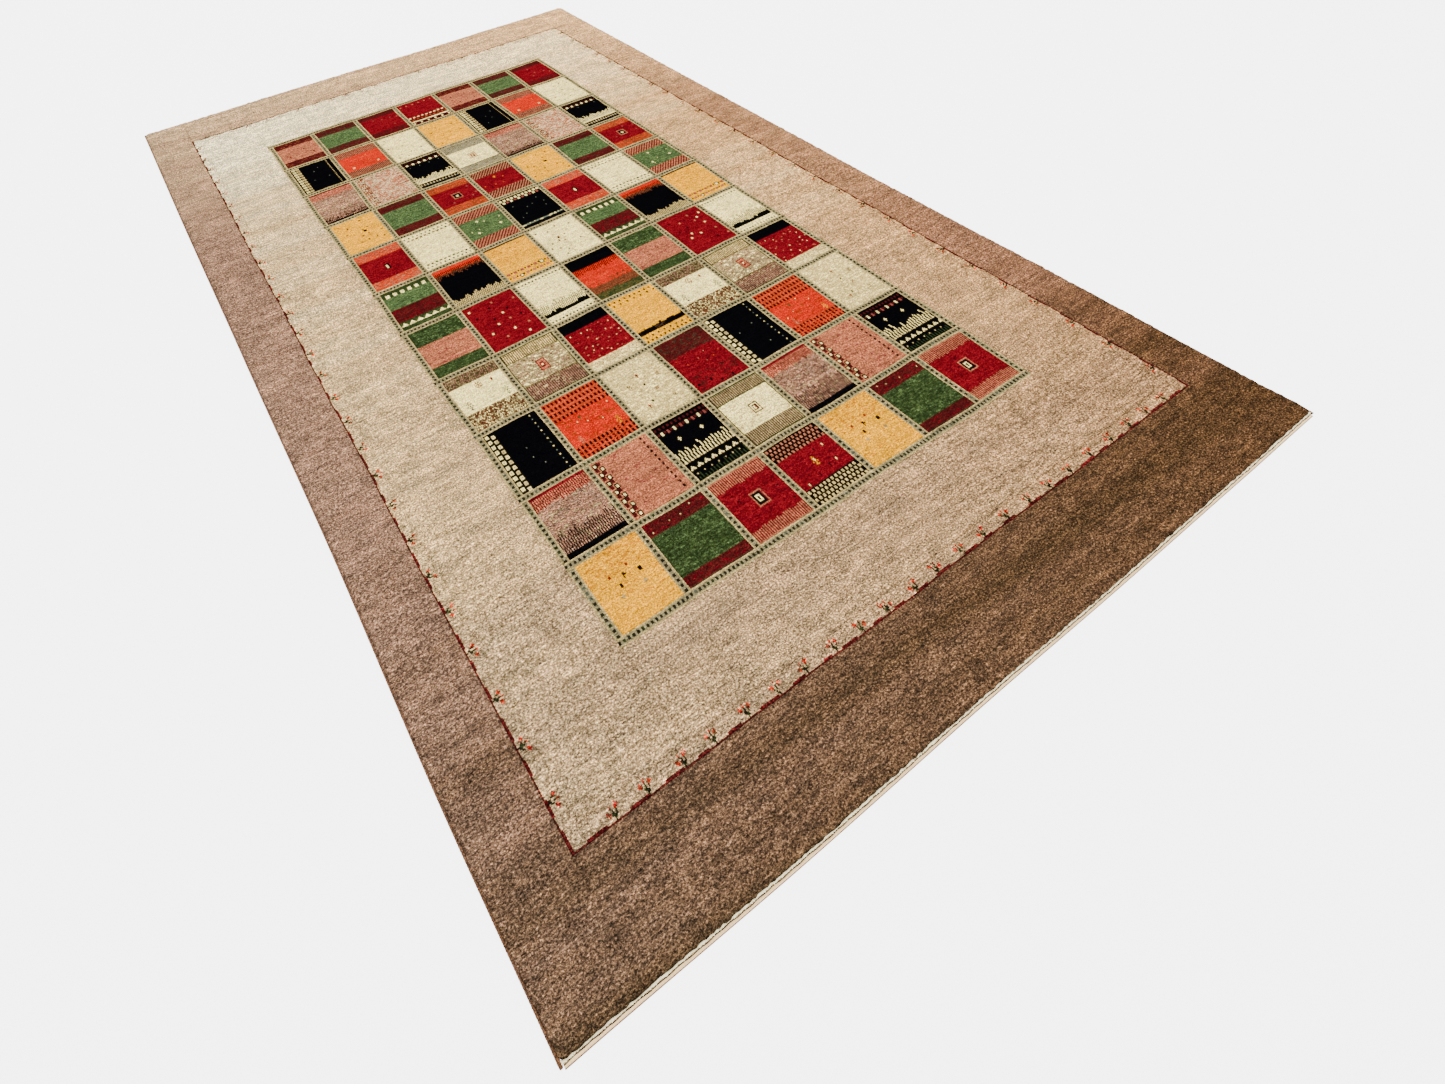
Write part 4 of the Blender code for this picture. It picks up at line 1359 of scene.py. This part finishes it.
class RUG_OT_lattice(RugOperator, bpy.types.Operator):
    """Builds the lattice of dotted bars between the panels."""

    bl_idname = "loribaft_rug.lattice"
    bl_label = "Lattice"

    # Shares of the bar's width: edge, ground, dots, ground, edge.
    widths = (0.0, 0.16, 0.30, 0.70, 0.84, 1.0)
    # One repeat of the dots along a bar: dot, then two knots of ground.
    repeat = (0.0, 0.52, 0.76)

    def execute(self, context):
        self.draw = random.Random(self.sizes().seed * 100 + 50)
        self.rough = self.numbers(51)
        self.table = dye_table()
        strips = [("cross", j, i) for j in range(PANELS_ALONG + 1) for i in range(PANELS_ACROSS)]
        strips += [("upright", j, i) for j in range(PANELS_ALONG) for i in range(PANELS_ACROSS + 1)]
        cells = map_cells(len(strips), 4)
        patches = [self.cross(j, i, cell) if kind == "cross" else self.upright(j, i, cell)
                   for (kind, j, i), cell in zip(strips, cells)]
        fit_piece(build_pile("lattice", patches, wool()), "rug_body")
        return {"FINISHED"}

    def steps(self, length, pitch):
        """Places along a bar at the edges of its dots, as shares of its length."""
        count = max(1, int(round(length / pitch)))
        return np.array([(i + part) / count for i in range(count) for part in self.repeat] + [1.0])

    def dyed(self, count, distance):
        """Colours of one strip, seen with its length as rows. Far bars are paler, with green dots."""
        khaki, ivory, pine, moss, slate = (self.table[DYE_INDEX[n]] for n in ("khaki", "ivory", "pine", "moss", "slate"))
        far = min(max((distance + 0.3) / 1.3, 0.0), 1.0)
        edge = khaki * (0.40 - 0.2 * far) + ivory * (0.60 + 0.2 * far)
        middle = khaki * 0.75 + slate * 0.25
        colours = np.empty((count, 5, 3))
        for k in range(count):
            colours[k, :] = khaki
            colours[k, 0] = colours[k, 4] = edge
            colours[k, 2] = middle
            if k % 3 == 0:
                chance = self.draw.random()
                dot = moss * 0.6 if chance < 0.15 + 0.45 * far else pine
                if chance > 0.95:
                    dot = slate * 0.5
                colours[k, 2] = dot
        return colours * (1 + self.rough.uniform(-0.12, 0.12, (count, 5)))[..., None]

    def patch(self, x, y, colours, cell):
        x, y = jiggle(x, y, self.rough, 0.0005)
        z = tufted(x, y, corner_darkness(colours), self.rough, self.sizes().tuft)
        return Patch(x, y, z, colours, 0.55, 0.06, (cell,))

    def upright(self, j, i, cell):
        steps = self.steps(PANEL_HEIGHTS[j] - BAR_WIDTH, 0.0122)
        across = (np.array(self.widths) - 0.5) * BAR_WIDTH
        y = np.full((len(steps), 6), 0.0)
        for _ in range(3):
            x = upright_bar(i, y) + across[None, :]
            low = cross_bar(j, x) + BAR_WIDTH / 2
            high = cross_bar(j + 1, x) - BAR_WIDTH / 2
            y = low + (high - low) * steps[:, None]
        colours = self.dyed(len(steps) - 1, float(y.mean()))
        return self.patch(x, y, colours, cell)

    def cross(self, j, i, cell):
        first = upright_bar(i, cross_bar(j, 0.0)) - (BAR_WIDTH / 2 if i == 0 else 0.0)
        last = upright_bar(i + 1, cross_bar(j, 0.0)) + (BAR_WIDTH / 2 if i == PANELS_ACROSS - 1 else 0.0)
        steps = self.steps(last - first, 0.0108)
        x = (first + (last - first) * steps)[None, :].repeat(6, axis=0)
        y = cross_bar(j, x) + ((np.array(self.widths) - 0.5) * BAR_WIDTH)[:, None]
        colours = self.dyed(len(steps) - 1, float(y.mean())).transpose(1, 0, 2)
        return self.patch(x, y, colours, cell)


class RUG_OT_panels(RugOperator, bpy.types.Operator):
    """Builds the panels, each a piece of pile with its own charted design."""

    bl_idname = "loribaft_rug.panels"
    bl_label = "Panels"

    def execute(self, context):
        self.table = dye_table()
        for row in range(PANELS_ALONG):
            for column in range(PANELS_ACROSS):
                self.panel(row, column)
        return {"FINISHED"}

    def panel(self, row, column):
        """One panel. Rows are counted from the near end, columns from the left."""
        sizes = self.sizes()
        salt = 100 + row * 10 + column
        draw = self.numbers(salt)
        high = int(round((PANEL_HEIGHTS[row] - BAR_WIDTH) / sizes.knot_length))
        reach = upright_bar(column + 1, 0.0) - upright_bar(column, 0.0) - BAR_WIDTH
        wide = int(round(reach / sizes.knot_width))
        chart = Chart(wide, high, random.Random(sizes.seed * 1000 + salt))
        for step in DESIGNS[PANELS_ALONG - 1 - row][column % 4]:
            getattr(chart, step[0])(*step[1:])
        knots = chart.knots[::-1]

        share = np.linspace(0.0, 1.0, wide + 1)[None, :]
        level = np.linspace(0.0, 1.0, high + 1)[:, None]
        y = np.zeros((high + 1, wide + 1))
        for _ in range(3):
            left = upright_bar(column, y) + BAR_WIDTH / 2
            right = upright_bar(column + 1, y) - BAR_WIDTH / 2
            x = left + (right - left) * share
            low = cross_bar(row, x) + BAR_WIDTH / 2
            top = cross_bar(row + 1, x) - BAR_WIDTH / 2
            y = low + (top - low) * level
        colours = self.table[knots]
        shade = 1 + np.repeat(draw.uniform(-0.07, 0.07, (high, 1)), wide, axis=1)
        shade = shade + draw.uniform(-0.09, 0.09, (high, wide))
        colours = colours * shade[..., None]
        x, y = jiggle(x, y, draw, sizes.knot_width * 0.14)
        z = tufted(x, y, corner_darkness(colours), draw, sizes.tuft)
        ground = DESIGNS[PANELS_ALONG - 1 - row][column % 4][0][1]
        patch = Patch(x, y, z, colours, PANEL_HEATHER_AND_SHADE.get(ground, 0.45), 0.08)
        name = f"panel_{row + 1:02d}_{column + 1}"
        fit_piece(build_pile(name, [patch], wool()), "rug_body")


class RUG_OT_foundation(RugOperator, bpy.types.Operator):
    """Builds the woven foundation: a thin sheet with the knots' backs below and a flat band at each end."""

    bl_idname = "loribaft_rug.foundation"
    bl_label = "Foundation"

    def execute(self, context):
        self.table = dye_table()
        x_lines = self.lines([upright_bar(i, 0.0) for i in range(PANELS_ACROSS + 1)], RUG_WIDTH / 2,
                             (LINE_LEFT[0], LINE_RIGHT[0]), 2)
        levels = [LATTICE_NEAR + sum(PANEL_HEIGHTS[:j]) for j in range(PANELS_ALONG + 1)]
        y_lines = self.lines(levels, RUG_LENGTH / 2, (LINE_NEAR[0], LINE_FAR[0]), 5)
        ribs = np.arange(1, 11) * BAND_WIDTH / 10
        y_lines = np.unique(np.concatenate((y_lines, -RUG_LENGTH / 2 + ribs, RUG_LENGTH / 2 - ribs)).round(5))
        across = (x_lines + RUG_WIDTH / 2) / RUG_WIDTH
        along = (y_lines + RUG_LENGTH / 2) / RUG_LENGTH
        x, y = plan_place(across[None, :].repeat(len(along), axis=0), along[:, None].repeat(len(across), axis=1))
        middle_x, middle_y = facet_middles(x), facet_middles(y)
        under = self.design(middle_x, middle_y)
        band = np.array(tuple(bpy.context.scene.trim_colours.band))
        rib = np.where(np.arange(len(y_lines)) % 2 == 0, 0.0, -0.0003)[:, None]
        at_end = (np.abs(y_lines) > RUG_LENGTH / 2 - BAND_WIDTH - 1e-4)[:, None]
        z = BAND_THICKNESS + np.where(at_end, rib, 0.0) + 0 * x
        over = np.tile(band, (*middle_x.shape, 1))
        line_steps = facet_middles(np.tile(y_lines[:, None], (1, x.shape[1])))
        over[np.abs(line_steps) > RUG_LENGTH / 2 - 0.0014] = tuple(bpy.context.scene.trim_colours.edge)
        fit_piece(self.sheet(x, y, z, over, under), "rug_body")
        return {"FINISHED"}

    def lines(self, bars, half, red_line, parts):
        """Grid lines at the edges of the bars, the panels' parts, the red line and the rug."""
        found = [-half, half, red_line[0], red_line[0] + 0.005, red_line[1] - 0.005, red_line[1]]
        for bar in bars:
            found += [bar - BAR_WIDTH / 2, bar + BAR_WIDTH / 2]
        for a, b in zip(bars, bars[1:]):
            found += [a + BAR_WIDTH / 2 + (b - a - BAR_WIDTH) * k / parts for k in range(1, parts)]
        plain = [(-half, red_line[0]), (red_line[0] + 0.005, bars[0] - BAR_WIDTH / 2),
                 (bars[-1] + BAR_WIDTH / 2, red_line[1] - 0.005), (red_line[1], half)]
        for start, end in plain:
            found += list(stations(start, end, 0.06)[1:-1])
        return np.unique(np.array(found).round(5))

    def design(self, x, y):
        """The underside's colours: the same design in simple form."""
        colours = border_colour(x, y)
        inside_line = (x > LINE_LEFT[0]) & (x < LINE_RIGHT[0]) & (y > LINE_NEAR[0]) & (y < LINE_FAR[0])
        colours[inside_line] = self.table[DYE_INDEX["maroon"]]
        edge = 0.005
        in_field = ((x > LINE_LEFT[0] + edge) & (x < LINE_RIGHT[0] - edge) & (y > LINE_NEAR[0] + edge)
                    & (y < LINE_FAR[0] - edge))
        colours[in_field] = field_colour(x, y)[in_field]
        for r in range(x.shape[0]):
            for c in range(x.shape[1]):
                spot = self.panel_dye(float(x[r, c]), float(y[r, c]))
                if spot is not None:
                    colours[r, c] = self.table[DYE_INDEX[spot]]
        return colours

    def panel_dye(self, x, y):
        """The dye at a place inside the lattice, or None outside it."""
        bars = [float(upright_bar(i, 0.0)) for i in range(PANELS_ACROSS + 1)]
        levels = [LATTICE_NEAR + sum(PANEL_HEIGHTS[:j]) for j in range(PANELS_ALONG + 1)]
        half = BAR_WIDTH / 2
        if not (bars[0] - half < x < bars[-1] + half and levels[0] - half < y < levels[-1] + half):
            return None
        if min(abs(x - b) for b in bars) < half or min(abs(y - b) for b in levels) < half:
            return "khaki"
        column = sum(x > b for b in bars) - 1
        row = sum(y > b for b in levels) - 1
        down = (levels[row + 1] - half - y) / (PANEL_HEIGHTS[row] - BAR_WIDTH)
        dye = "camel"
        for step in DESIGNS[PANELS_ALONG - 1 - row][column % 4]:
            if step[0] == "ground":
                dye = step[1]
            elif step[0] == "band" and step[1] <= down <= step[2]:
                dye = step[3]
        return dye

    def sheet(self, x, y, z, over, under):
        """A closed sheet with its own colours above and below."""
        rows, columns = x.shape
        index = np.arange(rows * columns).reshape(rows, columns)
        top = np.stack((index[:-1, :-1], index[:-1, 1:], index[1:, 1:], index[1:, :-1]), axis=-1).reshape(-1, 4)
        low = index + rows * columns
        bottom = np.stack((low[:-1, :-1], low[1:, :-1], low[1:, 1:], low[:-1, 1:]), axis=-1).reshape(-1, 4)
        rim = np.concatenate((index[0, :-1], index[:-1, -1], index[-1, :0:-1], index[:0:-1, 0]))
        foot = rim + rows * columns
        wall = np.stack((foot, np.roll(foot, -1), np.roll(rim, -1), rim), axis=-1)
        flat = np.column_stack((x.ravel(), y.ravel()))
        points = np.concatenate((np.column_stack((flat, z.ravel())), np.column_stack((flat, np.zeros(len(flat))))))
        mesh = bpy.data.meshes.new("foundation")
        mesh.from_pydata(points, [], top.tolist() + bottom.tolist() + wall.tolist())
        side = np.tile(np.array(tuple(bpy.context.scene.trim_colours.band)), (len(wall), 1))
        colour = np.concatenate((over.reshape(-1, 3), under.reshape(-1, 3), side)).repeat(4, axis=0)
        dye = mesh.attributes.new("Dye", "FLOAT_COLOR", "CORNER")
        dye.data.foreach_set("color", np.column_stack((colour, np.ones(len(colour)))).ravel())
        spread = flat / (RUG_WIDTH + 0.05, RUG_LENGTH + 0.05) + 0.5
        upper = spread * (0.48, 1.0)
        lower = (1 - spread[:, 0], spread[:, 1])
        lower = np.column_stack(lower) * (0.48, 1.0) + (0.51, 0.0)
        places = np.concatenate((upper, lower))
        corners = np.concatenate((top.ravel(), bottom.ravel(), wall.ravel()))
        bake_map = mesh.uv_layers.new(name="OFBake")
        bake_map.data.foreach_set("uv", places[corners].ravel())
        mesh.materials.append(shared_material("rug_back_weave", back_weave))
        obj = bpy.data.objects.new("foundation", mesh)
        bpy.context.scene.collection.objects.link(obj)
        return obj


class NodeTree:
    """A Geometry Nodes tree under construction, with named inputs."""

    def __init__(self, name):
        self.tree = bpy.data.node_groups.new(name, "GeometryNodeTree")
        self.tree.interface.new_socket("Geometry", in_out="INPUT", socket_type="NodeSocketGeometry")
        self.tree.interface.new_socket("Geometry", in_out="OUTPUT", socket_type="NodeSocketGeometry")
        self.inlet = self.tree.nodes.new("NodeGroupInput")
        self.outlet = self.tree.nodes.new("NodeGroupOutput")
        self.values = {}

    def value(self, name, kind, value):
        """Add a named input and keep the value it is to have."""
        item = self.tree.interface.new_socket(name, in_out="INPUT", socket_type=kind)
        self.values[item.identifier] = value
        return self.inlet.outputs[name]

    def node(self, kind, settings=None, sockets=None, out=0):
        """Add a node with its settings and its sockets' values or links, and return one output."""
        node = self.tree.nodes.new(kind)
        for key, value in (settings or {}).items():
            setattr(node, key, value)
        for key, value in (sockets or {}).items():
            if isinstance(key, int):
                socket = node.inputs[key]
            else:
                socket = next(s for s in node.inputs if s.enabled and s.name == key)
            if isinstance(value, bpy.types.NodeSocket):
                self.tree.links.new(value, socket)
            else:
                socket.default_value = value
        return [s for s in node.outputs if s.enabled][out]

    def built(self, name, curve, geometry, material):
        """Realize the tree's result on a curve as a plain mesh object."""
        kept = self.value("Material", "NodeSocketMaterial", material)
        real = self.node("GeometryNodeRealizeInstances", {}, {"Geometry": geometry})
        smooth = self.node("GeometryNodeSetShadeSmooth", {}, {"Geometry": real})
        painted = self.node("GeometryNodeSetMaterial", {}, {"Geometry": smooth, "Material": kept})
        self.tree.links.new(painted, self.outlet.inputs[0])
        host = bpy.data.objects.new(name + "_path", curve)
        bpy.context.scene.collection.objects.link(host)
        modifier = host.modifiers.new("Stitches", "NODES")
        modifier.node_group = self.tree
        for identifier, value in self.values.items():
            modifier[identifier] = value
        graph = bpy.context.evaluated_depsgraph_get()
        mesh = bpy.data.meshes.new_from_object(host.evaluated_get(graph), depsgraph=graph)
        mesh.name = name
        host.modifiers.remove(modifier)
        bpy.data.objects.remove(host, do_unlink=True)
        if not mesh.polygons:
            raise RuntimeError(f"{name} came out empty")
        obj = bpy.data.objects.new(name, mesh)
        bpy.context.scene.collection.objects.link(obj)
        return obj


def path_curve(name, x, y, z):
    """A poly curve through places on the rug."""
    curve = bpy.data.curves.new(name, "CURVE")
    curve.dimensions = "3D"
    spline = curve.splines.new("POLY")
    spline.points.add(len(x) - 1)
    for point, place in zip(spline.points, zip(x, y, z)):
        point.co = (*place, 1.0)
    return curve


def end_path(end, inward, height, sway):
    """A line along an end of the rug, inside the flat band's outer edge, swaying a little as it was sewn."""
    x, y = plan_place(np.linspace(0.001, 0.999, 500), 0.0 if end < 0 else 1.0)
    waves = np.sin(2 * math.pi * x / 0.031 + 1.4 * np.sin(2 * math.pi * x / 0.23)) * 0.6
    waves = waves + np.sin(2 * math.pi * x / 0.083 + end) * 0.4
    return x, y - end * (inward + sway * waves), np.full(len(x), height)


class RUG_OT_side_cords(RugOperator, bpy.types.Operator):
    """Builds the side cords: wool overcast turn by turn over the edge cord."""

    bl_idname = "loribaft_rug.side_cords"
    bl_label = "Side Cords"

    around = 8
    steps_a_turn = 3

    def execute(self, context):
        for side, name in ((-1, "selvedge_left"), (1, "selvedge_right")):
            fit_piece(self.cord(name, side), name)
        return {"FINISHED"}

    def cord(self, name, side):
        """A closed cord whose surface rises and sinks with each slanting turn of yarn, painted darker in the grooves
        between turns.
        """
        draw = self.numbers(70 + side)
        turns = int(round((RUG_LENGTH - BAND_WIDTH * 0.6) / self.sizes().wrap_pitch))
        rings = turns * self.steps_a_turn + 1
        along = np.linspace(0.3 * BAND_WIDTH / RUG_LENGTH, 1 - 0.3 * BAND_WIDTH / RUG_LENGTH, rings)
        x, y = plan_place(0.0 if side < 0 else 1.0, along)
        x = x + side * (GAP + SELVEDGE_WIDTH / 2)
        angle = 2 * math.pi * np.arange(self.around) / self.around
        phase = 2 * math.pi * np.arange(rings) / self.steps_a_turn
        turn = phase[:, None] - side * 0.6 * np.cos(angle)[None, :]
        swell = 0.93 + 0.07 * np.cos(turn) + draw.uniform(-0.02, 0.02, (rings, self.around))
        ends = np.clip(np.minimum(np.arange(rings), np.arange(rings)[::-1]) / 3 + 0.75, 0, 1)[:, None]
        out_x = np.cos(angle)[None, :] * swell * ends * SELVEDGE_WIDTH / 2
        out_z = np.sin(angle)[None, :] * swell * ends * SELVEDGE_HEIGHT / 2
        points = np.stack((x[:, None] + out_x, y[:, None] + 0 * out_x, SELVEDGE_HEIGHT / 2 + out_z), axis=-1)
        index = np.arange(rings * self.around).reshape(rings, self.around)
        beside = np.roll(index, -1, axis=1)
        skin = np.stack((index[:-1], index[1:], beside[1:], beside[:-1]), axis=-1).reshape(-1, 4)
        faces = skin.tolist() + [index[0].tolist(), index[-1, ::-1].tolist()]
        mesh = bpy.data.meshes.new(name + "_wraps")
        mesh.from_pydata(points.reshape(-1, 3), [], faces)
        own = np.array(tuple(bpy.context.scene.trim_colours.overcast))
        middle = border_colour(x, y) * 0.5 + own * 0.5
        # Painted shade: each turn's colour darkens to 0.72 in the groove where the surface sinks.
        painted_groove_shade = (0.72 + 0.28 * (0.5 + 0.5 * np.cos(turn)))[..., None]
        shades = (middle[:, None, :] * painted_groove_shade).reshape(-1, 3)
        corners = [corner for face in faces for corner in face]
        colour = shades[corners]
        dye = mesh.attributes.new("Dye", "FLOAT_COLOR", "CORNER")
        dye.data.foreach_set("color", np.column_stack((colour, np.ones(len(colour)))).ravel())
        heather_and_shade = mesh.attributes.new("Heather", "FLOAT", "CORNER")
        heather_and_shade.data.foreach_set("value", np.full(len(colour), 0.5))
        bake_map = mesh.uv_layers.new(name="OFBake")
        bake_map.data.foreach_set("uv", self.map_places(rings).ravel())
        mesh.shade_smooth()
        mesh.materials.append(wool())
        obj = bpy.data.objects.new(name + "_wraps", mesh)
        bpy.context.scene.collection.objects.link(obj)
        return obj

    def map_places(self, rings):
        """The cord's bake map: its length in columns side by side, each from bottom to top."""
        columns = 24
        ring = np.arange(rings - 1)
        column = ring * columns // (rings - 1)
        starts = np.ceil(np.arange(columns) * (rings - 1) / columns)
        length = (rings - 1) / columns
        low = (ring - starts[column]) / length * 0.92 + 0.04
        high = low + 0.92 / length
        left = (column[:, None] + 0.08 + 0.84 * np.arange(self.around)[None, :] / self.around) / columns
        right = left + 0.84 / self.around / columns
        lows = np.tile(low[:, None], (1, self.around))
        highs = np.tile(high[:, None], (1, self.around))
        places = np.stack((np.stack((left, lows), -1), np.stack((left, highs), -1), np.stack((right, highs), -1),
                           np.stack((right, lows), -1)), axis=2).reshape(-1, 2)
        return np.concatenate((places, np.full((2 * self.around, 2), 0.01)))


class RUG_OT_end_trims(RugOperator, bpy.types.Operator):
    """Builds the cotton braid and the twined dark line along each end."""

    bl_idname = "loribaft_rug.end_trims"
    bl_label = "End Braids and Twining"

    def execute(self, context):
        colours = context.scene.trim_colours
        cotton = yarn("rug_braid_cotton", tuple(colours.cotton), 0.8, 0.12)
        dark = yarn("rug_twined_wool", tuple(colours.twining), 0.9, 0.4)
        braid_inward = BAND_WIDTH - BRAID_FROM_PILE - BRAID_WIDTH / 2
        twining_inward = braid_inward - BRAID_WIDTH / 2 - TWINING_FROM_BRAID - TWINING_WIDTH / 2
        base = BAND_THICKNESS + GAP
        for end, word in ((-1, "near"), (1, "far")):
            path = end_path(end, braid_inward, base + BRAID_HEIGHT / 2, 0.0004)
            obj = self.braid(f"end_braid_{word}", path_curve("braid_line", *path), cotton)
            fit_piece(obj, f"end_braid_{word}")
            path = end_path(end, twining_inward, base + TWINING_HEIGHT / 2, 0.0006)
            obj = self.twining(f"end_twining_{word}", path_curve("twining_line", *path), dark)
            fit_piece(obj, f"end_twining_{word}")
        return {"FINISHED"}

    def braid(self, name, curve, material):
        """Two leaning loops of cotton at every stitch, which cross like a plait."""
        tree = NodeTree(name + "_stitches")
        pitch = tree.value("Pitch", "NodeSocketFloat", self.sizes().stitch_pitch)
        points = tree.node("GeometryNodeCurveToPoints", {"mode": "LENGTH"},
                           {"Curve": tree.inlet.outputs[0], "Length": pitch})
        ply = BRAID_HEIGHT * 0.40
        half = BRAID_WIDTH / 2 - ply * 0.70
        step = self.sizes().stitch_pitch * 0.95
        loops = []
        for way in (-1.0, 1.0):
            line = tree.node("GeometryNodeCurveQuadraticBezier", {},
                             {"Resolution": 3, "Start": (-step, -half * way, -ply * 0.3),
                              "Middle": (0.0, -half * way * 0.2, ply * 1.1), "End": (step, half * way, -ply * 0.3)})
            section = tree.node("GeometryNodeCurvePrimitiveCircle", {"mode": "RADIUS"},
                                {"Resolution": 5, "Radius": ply * 0.92})
            loops.append(tree.node("GeometryNodeCurveToMesh", {}, {"Curve": line, "Profile Curve": section,
                                                                   "Fill Caps": True}))
        first = tree.node("GeometryNodeJoinGeometry", {}, {0: loops[0]})
        join = first.node
        tree.tree.links.new(loops[1], join.inputs[0])
        wobble = tree.node("FunctionNodeRandomValue", {"data_type": "FLOAT_VECTOR"},
                           {"Min": (-0.08, -0.08, -0.16), "Max": (0.08, 0.08, 0.16), "Seed": self.sizes().seed})
        size = tree.node("FunctionNodeRandomValue", {"data_type": "FLOAT_VECTOR"},
                         {"Min": (0.9, 0.88, 0.85), "Max": (1.1, 1.08, 1.05), "Seed": self.sizes().seed + 1})
        placed = tree.node("GeometryNodeInstanceOnPoints", {},
                           {"Points": points, "Instance": first, "Rotation": wobble, "Scale": size})
        return tree.built(name, curve, placed, material)

    def twining(self, name, curve, material):
        """A slanting bead of yarn for every half turn of the two twined strands."""
        tree = NodeTree(name + "_turns")
        pitch = tree.value("Pitch", "NodeSocketFloat", self.sizes().twist_pitch)
        points = tree.node("GeometryNodeCurveToPoints", {"mode": "LENGTH"},
                           {"Curve": tree.inlet.outputs[0], "Length": pitch})
        bead = tree.node("GeometryNodeMeshIcoSphere", {}, {"Radius": 1.0, "Subdivisions": 1})
        long = self.sizes().twist_pitch * 1.05
        shaped = tree.node("GeometryNodeTransform", {},
                           {"Geometry": bead, "Scale": (long, TWINING_WIDTH * 0.55, TWINING_HEIGHT * 0.5),
                            "Rotation": (0.0, 0.0, 0.16)})
        wobble = tree.node("FunctionNodeRandomValue", {"data_type": "FLOAT_VECTOR"},
                           {"Min": (0.0, -0.1, -0.15), "Max": (0.0, 0.1, 0.15), "Seed": self.sizes().seed + 2})
        placed = tree.node("GeometryNodeInstanceOnPoints", {},
                           {"Points": points, "Instance": shaped, "Rotation": wobble})
        return tree.built(name, curve, placed, material)


class RUG_OT_stage(RugOperator, bpy.types.Operator):
    """Sets up the camera, the soft light and the plain floor."""

    bl_idname = "loribaft_rug.stage"
    bl_label = "Stage"

    # The camera's place and how it looks: turned from +Y towards +X, tipped down, and rolled.
    place = (-0.8597, -1.2387, 1.048)
    turn = math.radians(26.397)
    tip = math.radians(57.238)
    roll = math.radians(-5.413)
    # How far the picture's middle lies from the lens axis, in pixels of a picture 1445 wide.
    picture_width = 1445
    shift = (-210.3, -80.0)
    floor_half = 30.0

    def execute(self, context):
        settings = context.scene.stage_settings
        self.camera(context, settings)
        self.lights(context, settings)
        self.floor(context, settings)
        return {"FINISHED"}

    def camera(self, context, settings):
        data = bpy.data.cameras.new("camera")
        data.lens = settings.lens
        data.sensor_width = 36.0
        data.shift_x = -self.shift[0] / self.picture_width
        data.shift_y = self.shift[1] / self.picture_width
        data.dof.use_dof = False
        data.clip_start = 0.01
        camera = bpy.data.objects.new("camera", data)
        context.scene.collection.objects.link(camera)
        look = Vector((math.sin(self.turn) * math.cos(self.tip), math.cos(self.turn) * math.cos(self.tip),
                       -math.sin(self.tip)))
        level = Vector((math.cos(self.turn), -math.sin(self.turn), 0.0))
        up = level.cross(look)
        right = level * math.cos(self.roll) + up * math.sin(self.roll)
        top = up * math.cos(self.roll) - level * math.sin(self.roll)
        turned = Matrix((right, top, -look)).transposed().to_4x4()
        camera.matrix_world = Matrix.Translation(self.place) @ turned
        context.scene.camera = camera

    def lights(self, context, settings):
        world = bpy.data.worlds.new("studio")
        world.use_nodes = True
        background = world.node_tree.nodes["Background"]
        background.inputs["Color"].default_value = (1.0, 1.0, 1.0, 1.0)
        background.inputs["Strength"].default_value = settings.sky
        context.scene.world = world
        data = bpy.data.lights.new("key", "AREA")
        data.shape = "DISK"
        data.size = 4.0
        data.energy = settings.key_power
        key = bpy.data.objects.new("key", data)
        key.location = (1.2, 2.6, 8.6)
        key.rotation_mode = "QUATERNION"
        key.rotation_quaternion = (-key.location).to_track_quat("-Z", "Y")
        context.scene.collection.objects.link(key)

    def floor(self, context, settings):
        half = self.floor_half
        mesh = bpy.data.meshes.new("floor")
        mesh.from_pydata([(-half, -half, 0.0), (half, -half, 0.0), (half, half, 0.0), (-half, half, 0.0)], [],
                         [(0, 1, 2, 3)])
        finish = Finish("studio_floor", 0.9)
        colour = (*context.scene.trim_colours.floor, 1.0)
        finish.shader.inputs["Base Color"].default_value = colour
        finish.shader.inputs["Emission Color"].default_value = (1.0, 1.0, 1.0, 1.0)
        finish.shader.inputs["Emission Strength"].default_value = settings.floor_glow
        mesh.materials.append(finish.material)
        floor = bpy.data.objects.new("floor", mesh)
        floor.location.z = -0.0002
        # The glow shows to the camera and doesn't light the rug's rim from below.
        floor.visible_diffuse = False
        context.scene.collection.objects.link(floor)


class RUG_PT_panel(bpy.types.Panel):
    """Lists the rug's sizes, colours and operators."""

    bl_idname = "RUG_PT_panel"
    bl_label = "Loribaft Rug"
    bl_space_type = "VIEW_3D"
    bl_region_type = "UI"
    bl_category = "Rug"

    def draw(self, context):
        layout = self.layout
        for group in (context.scene.rug_sizes, context.scene.trim_colours, context.scene.stage_settings,
                      context.scene.wool_dyes):
            box = layout.box()
            for name in group.__annotations__:
                box.prop(group, name)
        for operator in OPERATORS:
            layout.operator(operator.bl_idname)


OPERATORS = (RUG_OT_foundation, RUG_OT_border, RUG_OT_line, RUG_OT_field, RUG_OT_lattice, RUG_OT_panels,
             RUG_OT_side_cords, RUG_OT_end_trims, RUG_OT_stage)
GROUPS = {"rug_sizes": RugSizes, "wool_dyes": WoolDyes, "trim_colours": TrimColours,
          "stage_settings": StageSettings}


def register():
    for group in GROUPS.values():
        bpy.utils.register_class(group)
    for name, group in GROUPS.items():
        setattr(bpy.types.Scene, name, PointerProperty(type=group))
    for operator in OPERATORS:
        bpy.utils.register_class(operator)
    bpy.utils.register_class(RUG_PT_panel)


def unregister():
    bpy.utils.unregister_class(RUG_PT_panel)
    for operator in reversed(OPERATORS):
        bpy.utils.unregister_class(operator)
    for name, group in GROUPS.items():
        delattr(bpy.types.Scene, name)
        bpy.utils.unregister_class(group)


def main():
    register()
    for operator in OPERATORS:
        group, name = operator.bl_idname.split(".")
        getattr(getattr(bpy.ops, group), name)()


if __name__ == "__main__":
    main()
